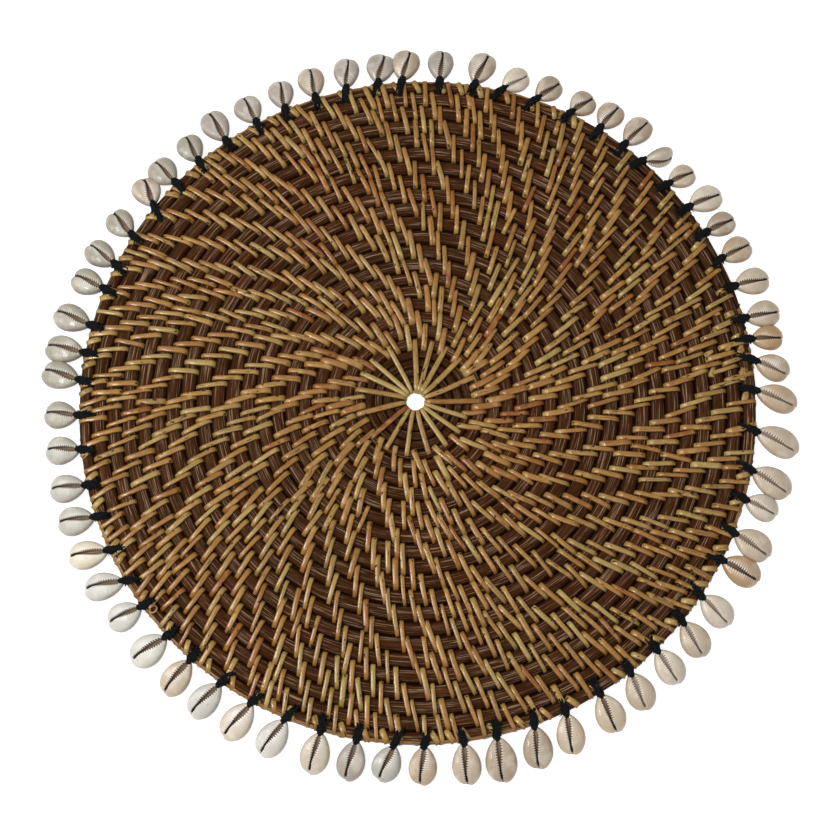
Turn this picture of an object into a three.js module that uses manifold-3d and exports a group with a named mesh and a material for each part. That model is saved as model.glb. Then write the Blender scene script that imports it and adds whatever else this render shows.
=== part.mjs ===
// Round placemat: dark rattan rod laid in one flat spiral and bound with pale rattan skin, a pale
// rosette round the start hole, and cowrie shells tied with black thread round the rim.
// Millimetres, +Z up, lying on z = 0, with the origin under the middle of the whole outline.

import * as THREE from 'three';
import { mergeVertices } from 'three/addons/utils/BufferGeometryUtils.js';
import Module from 'manifold-3d';

const wasm = await Module();
wasm.setup();

const { clamp, degToRad, lerp, smoothstep } = THREE.MathUtils;

const fullTurn = 360;
const clearance = 0.6;

// Points closer than this are one point, in a skin and in a solid that is to be joined.
const skinWeld = 0.001;
const joinWeld = 0.0001;

// Spiral: where each turn's inner edge crosses the ray at 0 degrees. The first turns are thin.
const coilEdges = [
  { turn: 0, radius: 9.6 },
  { turn: 4, radius: 28.6 },
  { turn: 10, radius: 70.9 },
  { turn: 22, radius: 162.8 },
  { turn: 25, radius: 185.8 },
];

// The rod was laid a little wider on one side, so a turn's centre drifts as it grows.
const drift = { x: 0.0155, y: -0.0097 };

const mat = {
  holeRadius: 9.6,
  grooveHeight: 4.6,
  crownHeight: 7.1,
  startCrownHeight: 5.4,
  startTurns: 5,
  riseTurns: 0.6,
  steps: 60,
};

// The last turn is its own strip, which thins out over its last stretch.
const rim = {
  firstTurn: 22,
  rodWidth: 6.2,
  endArc: 3,
  taperArc: 55,
  blendArc: 8,
  band: 7,
};

const tie = {
  halfWidth: 1.5,
  foot: 0.5,
  reach: 0.3,
};

// Rim strip across, as inset from its outer edge and height, plain and under a thread tie.
const rimProfile = [
  { inset: rim.band, height: 0.0, tieInset: rim.band, tieHeight: 0.0 },
  { inset: rim.band, height: 4.6, tieInset: rim.band, tieHeight: 5.4 },
  { inset: 3.6, height: 6.9, tieInset: 3.7, tieHeight: 7.7 },
  { inset: 0.7, height: 5.3, tieInset: -tie.reach, tieHeight: 7.1 },
  { inset: 0.0, height: 3.4, tieInset: -tie.reach, tieHeight: 5.4 },
  { inset: 1.0, height: 0.0, tieInset: 0.7, tieHeight: 0.0 },
];

const rosette = {
  holeRadius: 4.8,
  collarRadius: 9.0,
  collarHeight: 6.7,
  collarSides: 40,
  strapWidth: 2.7,
  strapBottom: 5.8,
  strapTop: 6.9,
  strapStart: 6.6,
  sideStep: 0.8,
  tipShort: 1.6,
};

// Where each strap of the rosette lies, in degrees anticlockwise.
const strapAngles = [
  1, 23.5, 45, 62.5, 76.5, 91.5, 117.5, 137.5, 153,
  169.5, 195.5, 222.5, 241.5, 262.5, 285, 304.5, 323.5, 341.5,
];

const shell = {
  thickness: 6.2,
  endRise: 0.5,
  slope: 14,
  tipGap: 0.3,
  leanGap: 0.9,
};

// Shell across at its widest: half-width share and thickness share, from the slit round to the cut back.
const shellProfile = [
  { side: 0.0, rise: 0.78 },
  { side: 0.13, rise: 1.0 },
  { side: 0.64, rise: 0.86 },
  { side: 1.0, rise: 0.4 },
  { side: 0.66, rise: 0.0 },
  { side: -0.66, rise: 0.0 },
  { side: -1.0, rise: 0.4 },
  { side: -0.64, rise: 0.86 },
  { side: -0.13, rise: 1.0 },
];

// Shell along: place on the length, width share and thickness share.
const shellStations = [
  { along: 0.0, width: 0.0, thickness: 0.5 },
  { along: 0.05, width: 0.4, thickness: 0.56 },
  { along: 0.24, width: 0.74, thickness: 0.85 },
  { along: 0.46, width: 0.97, thickness: 1.0 },
  { along: 0.7, width: 0.99, thickness: 0.97 },
  { along: 0.88, width: 0.76, thickness: 0.78 },
  { along: 0.97, width: 0.38, thickness: 0.58 },
  { along: 1.0, width: 0.0, thickness: 0.42 },
];

// One row a shell, anticlockwise: where its tie sits round the start hole, how far it leans
// clockwise, its length and width, and how far it is rolled on its side. Degrees and millimetres.
const shells = [
  { angle: 1.7, lean: 21, length: 22.0, width: 14.2, roll: 0 },
  { angle: 7.0, lean: 27, length: 18.4, width: 13.8, roll: 6 },
  { angle: 10.7, lean: 4, length: 16.8, width: 13.4, roll: 0 },
  { angle: 14.4, lean: -1, length: 18.5, width: 14.3, roll: 0 },
  { angle: 20.3, lean: 4, length: 18.9, width: 14.5, roll: 0 },
  { angle: 25.5, lean: -7, length: 17.6, width: 14.2, roll: 0 },
  { angle: 30.8, lean: 0, length: 17.0, width: 13.0, roll: 0 },
  { angle: 36.1, lean: 9, length: 19.2, width: 14.4, roll: 0 },
  { angle: 41.5, lean: 12, length: 15.4, width: 12.6, roll: 0 },
  { angle: 47.4, lean: 24, length: 15.6, width: 11.0, roll: 60 },
  { angle: 51.6, lean: 3, length: 19.2, width: 14.0, roll: 0 },
  { angle: 56.7, lean: 3, length: 16.6, width: 14.2, roll: 0 },
  { angle: 62.5, lean: 23, length: 15.0, width: 13.9, roll: 8 },
  { angle: 68.9, lean: 27, length: 16.2, width: 13.5, roll: 14 },
  { angle: 75.0, lean: 38, length: 16.4, width: 13.0, roll: 18 },
  { angle: 79.8, lean: 12, length: 19.4, width: 14.4, roll: 0 },
  { angle: 85.8, lean: -2, length: 18.0, width: 13.8, roll: 0 },
  { angle: 92.4, lean: 14, length: 18.4, width: 14.8, roll: 0 },
  { angle: 96.7, lean: 17, length: 17.3, width: 15.2, roll: 0 },
  { angle: 102.3, lean: 14, length: 18.0, width: 13.7, roll: 0 },
  { angle: 107.8, lean: 4, length: 17.6, width: 14.3, roll: 0 },
  { angle: 113.5, lean: 10, length: 16.5, width: 13.7, roll: 0 },
  { angle: 119.0, lean: -2, length: 16.5, width: 14.8, roll: 0 },
  { angle: 125.3, lean: 2, length: 19.3, width: 14.6, roll: 0 },
  { angle: 131.3, lean: 11, length: 16.4, width: 14.0, roll: 0 },
  { angle: 136.9, lean: 0, length: 17.0, width: 15.4, roll: 0 },
  { angle: 142.6, lean: 27, length: 17.0, width: 15.4, roll: 10 },
  { angle: 149.0, lean: 17, length: 17.1, width: 14.4, roll: 0 },
  { angle: 155.0, lean: 12, length: 18.5, width: 14.0, roll: 0 },
  { angle: 159.7, lean: 3, length: 18.1, width: 14.2, roll: 0 },
  { angle: 166.6, lean: 9, length: 20.6, width: 14.6, roll: 0 },
  { angle: 171.6, lean: 3, length: 20.7, width: 14.5, roll: 0 },
  { angle: 176.5, lean: 13, length: 20.5, width: 14.6, roll: 0 },
  { angle: 182.6, lean: 6, length: 17.4, width: 14.4, roll: 0 },
  { angle: 188.6, lean: 8, length: 17.5, width: 14.8, roll: 0 },
  { angle: 194.9, lean: 8, length: 18.5, width: 14.5, roll: 0 },
  { angle: 200.6, lean: 12, length: 19.0, width: 14.9, roll: 0 },
  { angle: 206.8, lean: 18, length: 20.2, width: 14.5, roll: 0 },
  { angle: 212.7, lean: 20, length: 20.6, width: 14.2, roll: 8 },
  { angle: 217.8, lean: 10, length: 18.2, width: 14.3, roll: 0 },
  { angle: 224.4, lean: 9, length: 20.7, width: 15.5, roll: 0 },
  { angle: 229.9, lean: -3, length: 20.5, width: 14.0, roll: 0 },
  { angle: 236.3, lean: 10, length: 21.0, width: 14.3, roll: 0 },
  { angle: 242.4, lean: 12, length: 21.3, width: 14.8, roll: 0 },
  { angle: 248.5, lean: 14, length: 20.8, width: 14.6, roll: 0 },
  { angle: 254.5, lean: -2, length: 20.8, width: 14.6, roll: 0 },
  { angle: 260.5, lean: 5, length: 19.8, width: 14.0, roll: 0 },
  { angle: 266.7, lean: 20, length: 18.3, width: 14.3, roll: 0 },
  { angle: 271.5, lean: 6, length: 18.8, width: 14.0, roll: 0 },
  { angle: 277.8, lean: 0, length: 20.3, width: 14.4, roll: 0 },
  { angle: 283.3, lean: 4, length: 22.2, width: 15.6, roll: 0 },
  { angle: 289.6, lean: 12, length: 20.8, width: 14.8, roll: 0 },
  { angle: 295.1, lean: 14, length: 20.3, width: 14.2, roll: 0 },
  { angle: 301.4, lean: 5, length: 20.1, width: 14.9, roll: 0 },
  { angle: 307.5, lean: 12, length: 19.4, width: 14.6, roll: 0 },
  { angle: 313.2, lean: 7, length: 19.4, width: 14.5, roll: 0 },
  { angle: 319.5, lean: 16, length: 19.4, width: 14.8, roll: 0 },
  { angle: 324.8, lean: 8, length: 19.4, width: 14.8, roll: 0 },
  { angle: 331.7, lean: -2, length: 20.7, width: 15.2, roll: 0 },
  { angle: 336.8, lean: 8, length: 20.6, width: 15.6, roll: 0 },
  { angle: 342.8, lean: 6, length: 17.4, width: 13.8, roll: 0 },
  { angle: 347.9, lean: 18, length: 22.1, width: 15.2, roll: 0 },
  { angle: 354.7, lean: 20, length: 23.4, width: 15.0, roll: 0 },
];

// Shells that touch the next one, counted from 1: each pair is one solid.
const touching = [3, 18, 26, 32, 59, 61];

const darkRattan = new THREE.MeshStandardMaterial({ color: 0x4a2f22, roughness: 0.6, metalness: 0 });
const rimRattan = new THREE.MeshStandardMaterial({ color: 0x3c2a22, roughness: 0.65, metalness: 0 });
const paleRattan = new THREE.MeshStandardMaterial({ color: 0xc09355, roughness: 0.45, metalness: 0 });
const cowrie = new THREE.MeshStandardMaterial({ color: 0xd9cfc0, roughness: 0.35, metalness: 0 });

// Radius of a turn's inner edge, by turns laid since the start.
function coilEdge(turn) {
  if (turn <= coilEdges[0].turn) {
    return coilEdges[0].radius;
  }
  let row = 1;
  while (coilEdges[row].turn < turn) {
    row += 1;
  }
  const from = coilEdges[row - 1];
  const to = coilEdges[row];
  return lerp(from.radius, to.radius, (turn - from.turn) / (to.turn - from.turn));
}

// Radius of the mat's outer edge, by degrees swept clockwise from the ray at 0 degrees.
function rimRadius(swept) {
  const taper = clamp((fullTurn - rim.endArc - swept) / rim.taperArc, 0, 1);
  const plain = coilEdge(rim.firstTurn + swept / fullTurn) + rim.rodWidth * taper;
  const start = coilEdge(rim.firstTurn) + rim.rodWidth;
  return lerp(plain, start, smoothstep(swept, fullTurn - rim.blendArc, fullTurn));
}

function onCoil(radius, swept, height) {
  const angle = degToRad(-swept);
  const x = radius * (drift.x + Math.cos(angle));
  const y = radius * (drift.y + Math.sin(angle));
  return new THREE.Vector3(x, y, height);
}

// Degrees swept round the rim's own centre, for a direction seen from the start hole.
function sweptToward(angle) {
  const radius = rimRadius(fullTurn - angle);
  const x = radius * (Math.cos(degToRad(angle)) - drift.x);
  const y = radius * (Math.sin(degToRad(angle)) - drift.y);
  const swept = -THREE.MathUtils.radToDeg(Math.atan2(y, x));
  return (swept + fullTurn) % fullTurn;
}

function dropFlatTriangles(geometry) {
  const index = Array.from(geometry.index.array);
  const kept = [];
  for (let i = 0; i < index.length; i += 3) {
    const [a, b, c] = index.slice(i, i + 3);
    if (a !== b && b !== c && c !== a) {
      kept.push(a, b, c);
    }
  }
  geometry.setIndex(kept);
  return geometry;
}

// Skin over closed sections, each a loop of as many points. Points that coincide are welded,
// so a section drawn in to one point closes an end, and a last section on the first closes a ring.
function skin(sections) {
  const loop = sections[0].length;
  const index = [];
  for (let row = 0; row + 1 < sections.length; row += 1) {
    for (let column = 0; column < loop; column += 1) {
      const next = (column + 1) % loop;
      const a = row * loop + column;
      const b = row * loop + next;
      const c = a + loop;
      const d = b + loop;
      index.push(a, b, c, b, d, c);
    }
  }
  const geometry = new THREE.BufferGeometry().setFromPoints(sections.flat());
  geometry.setIndex(index);
  const solid = dropFlatTriangles(mergeVertices(geometry, skinWeld));
  solid.computeVertexNormals();
  return solid;
}

function crownHeight(turn, share) {
  const rise = smoothstep(turn, mat.startTurns, mat.startTurns + mat.riseTurns);
  const full = lerp(mat.startCrownHeight, mat.crownHeight, rise);
  return lerp(mat.grooveHeight, full, share);
}

// The mat across one ray, from the hole out: grooves at the turns' edges, a crown on each rod.
function matSection(swept) {
  const outer = rimRadius(swept % fullTurn) - rim.band - clearance;
  const part = swept / fullTurn;
  const section = [onCoil(mat.holeRadius, swept, 0)];
  for (let laid = -1; laid <= rim.firstTurn + 1; laid += 1) {
    const turn = laid + part;
    const full = coilEdge(turn + 1) - coilEdge(turn);
    const inner = clamp(coilEdge(turn), mat.holeRadius, outer);
    const next = clamp(coilEdge(turn + 1), mat.holeRadius, outer);
    const share = full > 0 ? (next - inner) / full : 0;
    section.push(onCoil(inner, swept, mat.grooveHeight));
    section.push(onCoil((inner + next) / 2, swept, crownHeight(turn, share)));
  }
  section.push(onCoil(outer, swept, mat.grooveHeight));
  section.push(onCoil(outer, swept, 0));
  return section.reverse();
}

function matBody() {
  const sections = [];
  for (let step = 0; step <= mat.steps; step += 1) {
    sections.push(matSection((step / mat.steps) * fullTurn));
  }
  return skin(sections);
}

function rimSection(swept, tied) {
  const outer = rimRadius(swept);
  return rimProfile.toReversed().map((row) => {
    const inset = tied ? row.tieInset : row.inset;
    const height = tied ? row.tieHeight : row.height;
    return onCoil(outer - inset, swept, height);
  });
}

// The last turn of rod, with every thread tie standing up over it and out to its shell.
function rimBody() {
  const halfArc = THREE.MathUtils.radToDeg(tie.halfWidth / rimRadius(0));
  const footArc = THREE.MathUtils.radToDeg(tie.foot / rimRadius(0));
  const ties = shells.map((row) => sweptToward(row.angle));
  ties.sort((a, b) => a - b);
  const sections = [];
  for (const place of ties) {
    sections.push(rimSection(place - halfArc - footArc, false));
    sections.push(rimSection(place - halfArc, true));
    sections.push(rimSection(place + halfArc, true));
    sections.push(rimSection(place + halfArc + footArc, false));
  }
  sections.push(sections[0]);
  return skin(sections);
}

function toSolid(geometry) {
  const bare = geometry.clone();
  bare.deleteAttribute('normal');
  bare.deleteAttribute('uv');
  const welded = mergeVertices(bare, joinWeld);
  return new wasm.Manifold(new wasm.Mesh({
    numProp: 3,
    vertProperties: new Float32Array(welded.attributes.position.array),
    triVerts: new Uint32Array(welded.index.array),
  }));
}

function fromSolid(solid) {
  const mesh = solid.getMesh();
  const geometry = new THREE.BufferGeometry();
  geometry.setAttribute('position', new THREE.BufferAttribute(mesh.vertProperties, 3));
  geometry.setIndex(new THREE.BufferAttribute(mesh.triVerts, 1));
  geometry.computeVertexNormals();
  return geometry;
}

function joined(geometries) {
  const [first, ...rest] = geometries.map(toSolid);
  return fromSolid(rest.reduce((whole, piece) => whole.add(piece), first));
}

function strap(angle) {
  const tip = coilEdge(mat.startTurns - angle / fullTurn) - rosette.tipShort;
  const length = tip - rosette.strapStart;
  const depth = rosette.strapTop - rosette.strapBottom;
  const bar = new THREE.BoxGeometry(length, rosette.strapWidth, depth);
  bar.translate(rosette.strapStart + length / 2, -rosette.sideStep, rosette.strapBottom + depth / 2);
  bar.rotateZ(degToRad(angle));
  return bar;
}

// Straps laid out from the start hole over the first turns, all rooted in the collar that lines it.
function rosetteBody() {
  const profile = [
    new THREE.Vector2(rosette.holeRadius, 0),
    new THREE.Vector2(rosette.collarRadius, 0),
    new THREE.Vector2(rosette.collarRadius, rosette.collarHeight),
    new THREE.Vector2(rosette.holeRadius, rosette.collarHeight),
    new THREE.Vector2(rosette.holeRadius, 0),
  ];
  const collar = new THREE.LatheGeometry(profile, rosette.collarSides);
  collar.rotateX(Math.PI / 2);
  return joined([collar, ...strapAngles.map(strap)]);
}

function shellSection(row, station) {
  return shellProfile.toReversed().map((spot) => {
    const rise = station.width > 0 ? spot.rise : shell.endRise;
    const side = (row.width / 2) * station.width * spot.side;
    return new THREE.Vector3(station.along * row.length, side, shell.thickness * station.thickness * rise);
  });
}

// One cowrie, slit up and back cut flat, from its narrow end at the origin out along +X.
function shellBody(row) {
  const body = skin(shellStations.map((station) => shellSection(row, station)));
  body.rotateX(degToRad(row.roll));
  body.rotateY(degToRad(shell.slope));
  body.computeBoundingBox();
  body.translate(0, 0, -body.boundingBox.min.z);
  return body;
}

function placedShell(row) {
  const swept = sweptToward(row.angle);
  const gap = shell.tipGap + shell.leanGap * Math.sin(degToRad(Math.abs(row.lean)));
  const foot = onCoil(rimRadius(swept) + tie.reach + gap, swept, 0);
  const body = shellBody(row);
  body.rotateZ(degToRad(row.angle - row.lean));
  body.translate(foot.x, foot.y, 0);
  return body;
}

function named(name, geometry, material) {
  const mesh = new THREE.Mesh(geometry, material.clone());
  mesh.name = name;
  return mesh;
}

function label(number) {
  return String(number).padStart(2, '0');
}

const placemat = new THREE.Group();
placemat.add(named('mat', matBody(), darkRattan));
placemat.add(named('rim_coil', rimBody(), rimRattan));
placemat.add(named('start_rosette', rosetteBody(), paleRattan));
for (let number = 1; number <= shells.length; number += 1) {
  const row = shells[number - 1];
  if (touching.includes(number)) {
    const pair = joined([placedShell(row), placedShell(shells[number])]);
    placemat.add(named(`cowries_${label(number)}_${label(number + 1)}`, pair, cowrie));
  } else if (!touching.includes(number - 1)) {
    placemat.add(named(`cowrie_${label(number)}`, placedShell(row), cowrie));
  }
}

// Stand the origin under the middle of the outline.
const outline = new THREE.Box3().setFromObject(placemat);
const middle = outline.getCenter(new THREE.Vector3());
placemat.position.set(-middle.x, -middle.y, -outline.min.z);

export default placemat;
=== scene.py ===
"""Round rattan placemat with a rim of cowries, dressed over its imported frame.

A dark rod lies in one flat spiral. Strips of pale rattan skin bind each turn to the one before, longer
straps bind the first turns to the start hole, and a cowrie is tied with black thread at each place
round the rim. Sizes are in millimetres about the start hole until Spiral.place puts them in the frame.
"""

import logging
import math
import random
from dataclasses import dataclass, field
from enum import Enum

import bpy
from mathutils import Matrix, Vector, noise


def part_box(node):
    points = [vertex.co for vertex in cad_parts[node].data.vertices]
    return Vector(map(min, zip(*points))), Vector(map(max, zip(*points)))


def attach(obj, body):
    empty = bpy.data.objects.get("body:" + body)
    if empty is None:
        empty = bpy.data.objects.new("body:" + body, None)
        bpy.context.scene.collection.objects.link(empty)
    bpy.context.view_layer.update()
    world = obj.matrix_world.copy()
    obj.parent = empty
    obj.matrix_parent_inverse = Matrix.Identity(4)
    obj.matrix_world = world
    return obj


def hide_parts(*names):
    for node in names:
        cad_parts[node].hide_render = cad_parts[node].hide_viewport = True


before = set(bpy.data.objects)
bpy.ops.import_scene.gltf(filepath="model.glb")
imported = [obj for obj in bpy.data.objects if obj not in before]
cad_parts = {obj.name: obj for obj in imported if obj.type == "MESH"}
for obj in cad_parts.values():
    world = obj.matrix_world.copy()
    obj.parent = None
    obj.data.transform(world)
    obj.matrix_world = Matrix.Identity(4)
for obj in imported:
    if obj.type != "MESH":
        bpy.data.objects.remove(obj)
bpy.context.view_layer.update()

LOG = logging.getLogger("placemat")
MM = 0.001
TO_MM = 1000.0
FULL_TURN = 360.0

# Flat strips have eight sides, turned so that one of them faces up.
STRIP_SIDES = 8
FLAT_UP = math.radians(22.5)

# What is kept at each point of a shell.
SHELL_MARKS = ("hollow", "ridge", "flank_shade", "length")

Color = tuple[float, float, float, float]
Pair = tuple[float, float]
Triple = tuple[float, float, float]
Row = tuple[float, ...]
Rows = tuple[Row, ...]
Socket = bpy.types.NodeSocket
Sockets = bpy.types.NodeOutputs


class Side(Enum):
    """The face of the mat that a binding lies on."""

    TOP = 1
    UNDER = -1


class ShellTone(Enum):
    """The tone of a cowrie, as red, green and blue in steps of 0 to 255."""

    WHITE = (178, 175, 166)
    # A darker copy of white: painted shade for shells that face the key light.
    SHADED_WHITE = (157, 153, 142)
    IVORY = (186, 174, 155)
    OLIVE = (140, 134, 117)
    GREY = (149, 139, 128)
    TAUPE = (156, 138, 117)
    CREAM = (175, 157, 135)
    HONEY = (167, 144, 116)
    PEACH = (160, 127, 88)


def clamp(value: float, low: float = 0.0, high: float = 1.0) -> float:
    """Returns value held between low and high."""
    return max(low, min(high, value))


def mix(start: float, end: float, share: float) -> float:
    """Returns the number that lies at share of the way from start to end."""
    return start + (end - start) * share


def smooth(value: float, low: float, high: float) -> float:
    """Returns 0 below low, 1 above high, and a soft step between them."""
    share = clamp((value - low) / (high - low))
    return share * share * (3.0 - 2.0 * share)


def along_table(rows: Rows, at: float) -> float:
    """Reads a short table of (place, value) rows by straight lines.

    Args:
        rows: The rows, by rising place.
        at: The place that is asked for.

    Returns:
        The value there, held at the first and last rows beyond them.
    """
    if at <= rows[0][0]:
        return rows[0][1]
    for (low, first), (high, second) in zip(rows, rows[1:]):
        if at <= high:
            return mix(first, second, (at - low) / (high - low))
    return rows[-1][1]


def rgb(red: float, green: float, blue: float) -> Color:
    """Turns a colour written in sRGB steps of 0 to 255 into the linear numbers that a node takes."""
    parts = []
    for step in (red, green, blue):
        share = step / 255.0
        parts.append(share / 12.92 if share <= 0.04045 else ((share + 0.055) / 1.055) ** 2.4)
    return parts[0], parts[1], parts[2], 1.0


def add_object(name: str, data: bpy.types.ID) -> bpy.types.Object:
    """Puts a mesh, light or camera in the scene as an object of that name, and returns it."""
    made = bpy.data.objects.new(name, data)
    bpy.context.scene.collection.objects.link(made)
    return made


@dataclass(frozen=True)
class Spiral:
    """The law of the coil: where each turn's inner edge lies, and how the last turn ends."""

    hole_x: float = 0.0
    hole_y: float = 0.0
    # Rows are turns laid since the start and the radius of the inner edge there.
    edges: Rows = ((-1, 4.9), (0, 9.6), (4, 28.6), (10, 70.9), (22, 162.8), (25, 185.8))
    # How far a turn's centre drifts for each millimetre of its radius.
    drift_x: float = 0.0155
    drift_y: float = -0.0097
    rim_turn: float = 22.0
    rim_width: float = 6.2
    # Degrees before the end of the last turn: the bare end, the taper, and the step back to full width.
    end_arc: float = 3.0
    taper_arc: float = 55.0
    blend_arc: float = 8.0
    mat_inset: float = 7.6

    @classmethod
    def in_frame(cls, mat_node: str) -> "Spiral":
        """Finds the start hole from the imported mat's lowest corner.

        Args:
            mat_node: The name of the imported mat.

        Returns:
            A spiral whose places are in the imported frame.
        """
        plain = cls()
        low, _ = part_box(mat_node)
        spots = [plain.flat(plain.rim_radius(swept) - plain.mat_inset, swept) for swept in range(0, 360, 6)]
        left = min(x for x, _ in spots)
        near = min(y for _, y in spots)
        return cls(hole_x=low.x - left * MM, hole_y=low.y - near * MM)

    def edge(self, turn: float) -> float:
        """Returns the radius of a turn's inner edge, by turns laid since the start."""
        return along_table(self.edges, turn)

    def taper(self, swept: float) -> float:
        """Returns how much of its width the last turn still has, from 1 to 0."""
        return clamp((FULL_TURN - self.end_arc - swept) / self.taper_arc)

    def rim_radius(self, swept: float) -> float:
        """Returns the radius of the mat's outer edge, by degrees swept clockwise."""
        plain = self.edge(self.rim_turn + swept / FULL_TURN) + self.rim_width * self.taper(swept)
        start = self.edge(self.rim_turn) + self.rim_width
        return mix(plain, start, smooth(swept, FULL_TURN - self.blend_arc, FULL_TURN))

    def flat(self, radius: float, swept: float) -> Pair:
        """Returns x and y about the start hole, in millimetres."""
        angle = math.radians(-swept)
        return radius * (self.drift_x + math.cos(angle)), radius * (self.drift_y + math.sin(angle))

    def place(self, radius: float, swept: float, height: float) -> Vector:
        """Puts a point of the coil in the frame.

        Args:
            radius: Its distance from the coil's centre, in millimetres.
            swept: Degrees swept clockwise from the right-hand side.
            height: Its height above the table, in millimetres.

        Returns:
            The point in metres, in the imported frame.
        """
        return self.about_hole(*self.flat(radius, swept), height)

    def about_hole(self, x: float, y: float, height: float) -> Vector:
        """Returns a point given in millimetres about the start hole, in metres in the frame."""
        return Vector((self.hole_x + x * MM, self.hole_y + y * MM, height * MM))

    def beside(self, angle: float, out: float, aside: float, height: float) -> Vector:
        """Places a point by a direction from the start hole.

        Args:
            angle: The direction, in radians anticlockwise.
            out: Millimetres along it from the hole.
            aside: Millimetres to its left.
            height: Millimetres above the table.

        Returns:
            The point in metres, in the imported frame.
        """
        x = out * math.cos(angle) - aside * math.sin(angle)
        y = out * math.sin(angle) + aside * math.cos(angle)
        return self.about_hole(x, y, height)

    def swept_toward(self, angle: float) -> float:
        """Returns the degrees swept about the rim's own centre, for a direction seen from the hole."""
        radius = self.rim_radius(FULL_TURN - angle)
        x = radius * (math.cos(math.radians(angle)) - self.drift_x)
        y = radius * (math.sin(math.radians(angle)) - self.drift_y)
        return (FULL_TURN - math.degrees(math.atan2(y, x))) % FULL_TURN


class NodeSheet:
    """A node tree that is being drawn up, with short calls for its nodes and links."""

    def __init__(self, tree: bpy.types.NodeTree) -> None:
        """Keeps the tree that the nodes go into."""
        self.tree = tree

    def add(self, kind: str, **settings: object) -> bpy.types.Node:
        """Adds one node.

        Args:
            kind: Its class name in Blender.
            settings: The node's own settings by name.

        Returns:
            The new node.
        """
        node = self.tree.nodes.new(kind)
        for name, value in settings.items():
            setattr(node, name, value)
        return node

    def feed(self, node: bpy.types.Node, *values: object, **named: object) -> bpy.types.Node:
        """Sets or links a node's inputs. An output socket is linked, and anything else is set.

        Args:
            node: The node that is fed.
            values: What goes in its first inputs, in their order.
            named: What goes in others, by identifier, with _ for each space.

        Returns:
            The same node.
        """
        sockets = {socket.identifier.replace(" ", "_"): socket for socket in node.inputs}
        pairs = list(zip(node.inputs, values)) + [(sockets[name], value) for name, value in named.items()]
        for socket, value in pairs:
            if isinstance(value, Socket):
                self.tree.links.new(value, socket)
            else:
                socket.default_value = value
        return node

    def math(self, operation: str, first: object, second: object = 0.0, third: object = 0.0) -> Socket:
        """Adds a math node and returns its output."""
        return self.feed(self.add("ShaderNodeMath", operation=operation), first, second, third).outputs[0]

    def product(self, first: object, second: object) -> Socket:
        """Multiplies two numbers and returns their product."""
        return self.math("MULTIPLY", first, second)

    def ramp(self, value: object, step: Pair, ends: Pair = (0.0, 1.0)) -> Socket:
        """Adds a soft step of value, from the first of two ends to the second, and returns its output."""
        node = self.add("ShaderNodeMapRange", interpolation_type="SMOOTHSTEP")
        return self.feed(node, value, *step, *ends).outputs[0]

    def blend(self, share: object, first: object, second: object, way: str = "MIX") -> Socket:
        """Adds a mix of two colours and returns its output."""
        node = self.add("ShaderNodeMix", data_type="RGBA", blend_type=way)
        self.feed(node, Factor_Float=share, A_Color=first, B_Color=second)
        return next(socket for socket in node.outputs if socket.identifier == "Result_Color")

    def attribute(self, name: str, output: str = "Fac") -> Socket:
        """Reads an attribute of the piece and returns one of the node's outputs."""
        node = self.add("ShaderNodeAttribute", attribute_type="GEOMETRY", attribute_name=name)
        return node.outputs[output]

    def place(self) -> Socket:
        """Returns the place on the piece, in metres."""
        return self.add("ShaderNodeTexCoord").outputs["Object"]

    def noise(self, vector: object, scale: object, detail: float = 3.0, roughness: float = 0.55) -> Socket:
        """Adds a noise and returns its grey output."""
        node = self.add("ShaderNodeTexNoise", noise_dimensions="3D")
        return self.feed(node, vector, Scale=scale, Detail=detail, Roughness=roughness).outputs[0]

    def stretched(self, vector: object, scale: Triple) -> Socket:
        """Scales a vector along each axis and returns it."""
        return self.feed(self.add("ShaderNodeVectorMath", operation="MULTIPLY"), vector, scale).outputs[0]

    def parts(self, vector: object) -> Sockets:
        """Returns the three parts of a vector."""
        return self.feed(self.add("ShaderNodeSeparateXYZ"), vector).outputs

    def vector(self, *parts: object) -> Socket:
        """Returns the vector that two or three parts make."""
        return self.feed(self.add("ShaderNodeCombineXYZ"), *parts).outputs[0]

    def group(self, tree: bpy.types.NodeTree, *values: object) -> Sockets:
        """Places a shader node group with its own values and returns its outputs."""
        return self.feed(self.add("ShaderNodeGroup", node_tree=tree), *values).outputs

    def relief(self, height: object, strength: float, depth: float) -> Socket:
        """Adds a bump and returns its normal. The depth is in metres."""
        node = self.add("ShaderNodeBump")
        return self.feed(node, Strength=strength, Distance=depth, Height=height).outputs[0]


def new_group(
    name: str, inputs: dict[str, str], outputs: dict[str, str], kind: str = "ShaderNodeTree"
) -> tuple[NodeSheet, Sockets, bpy.types.Node]:
    """Starts a node group.

    Args:
        name: The group's name.
        inputs: Each input's name and kind of socket.
        outputs: Each output's name and kind of socket.
        kind: The kind of tree.

    Returns:
        The sheet for its nodes, the sockets that it is given, and its output node.
    """
    tree = bpy.data.node_groups.new(name, kind)
    for way, sockets in (("INPUT", inputs), ("OUTPUT", outputs)):
        for label, socket in sockets.items():
            tree.interface.new_socket(label, in_out=way, socket_type="NodeSocket" + socket)
    sheet = NodeSheet(tree)
    return sheet, sheet.add("NodeGroupInput").outputs, sheet.add("NodeGroupOutput")


def new_material(name: str) -> tuple[NodeSheet, bpy.types.Node, bpy.types.Material]:
    """Starts a material.

    Args:
        name: The material's name.

    Returns:
        The sheet for its nodes, its shader and the material.
    """
    material = bpy.data.materials.new(name)
    material.use_nodes = True
    sheet = NodeSheet(material.node_tree)
    shader = next(n for n in material.node_tree.nodes if n.type == "BSDF_PRINCIPLED")
    return sheet, shader, material


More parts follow.
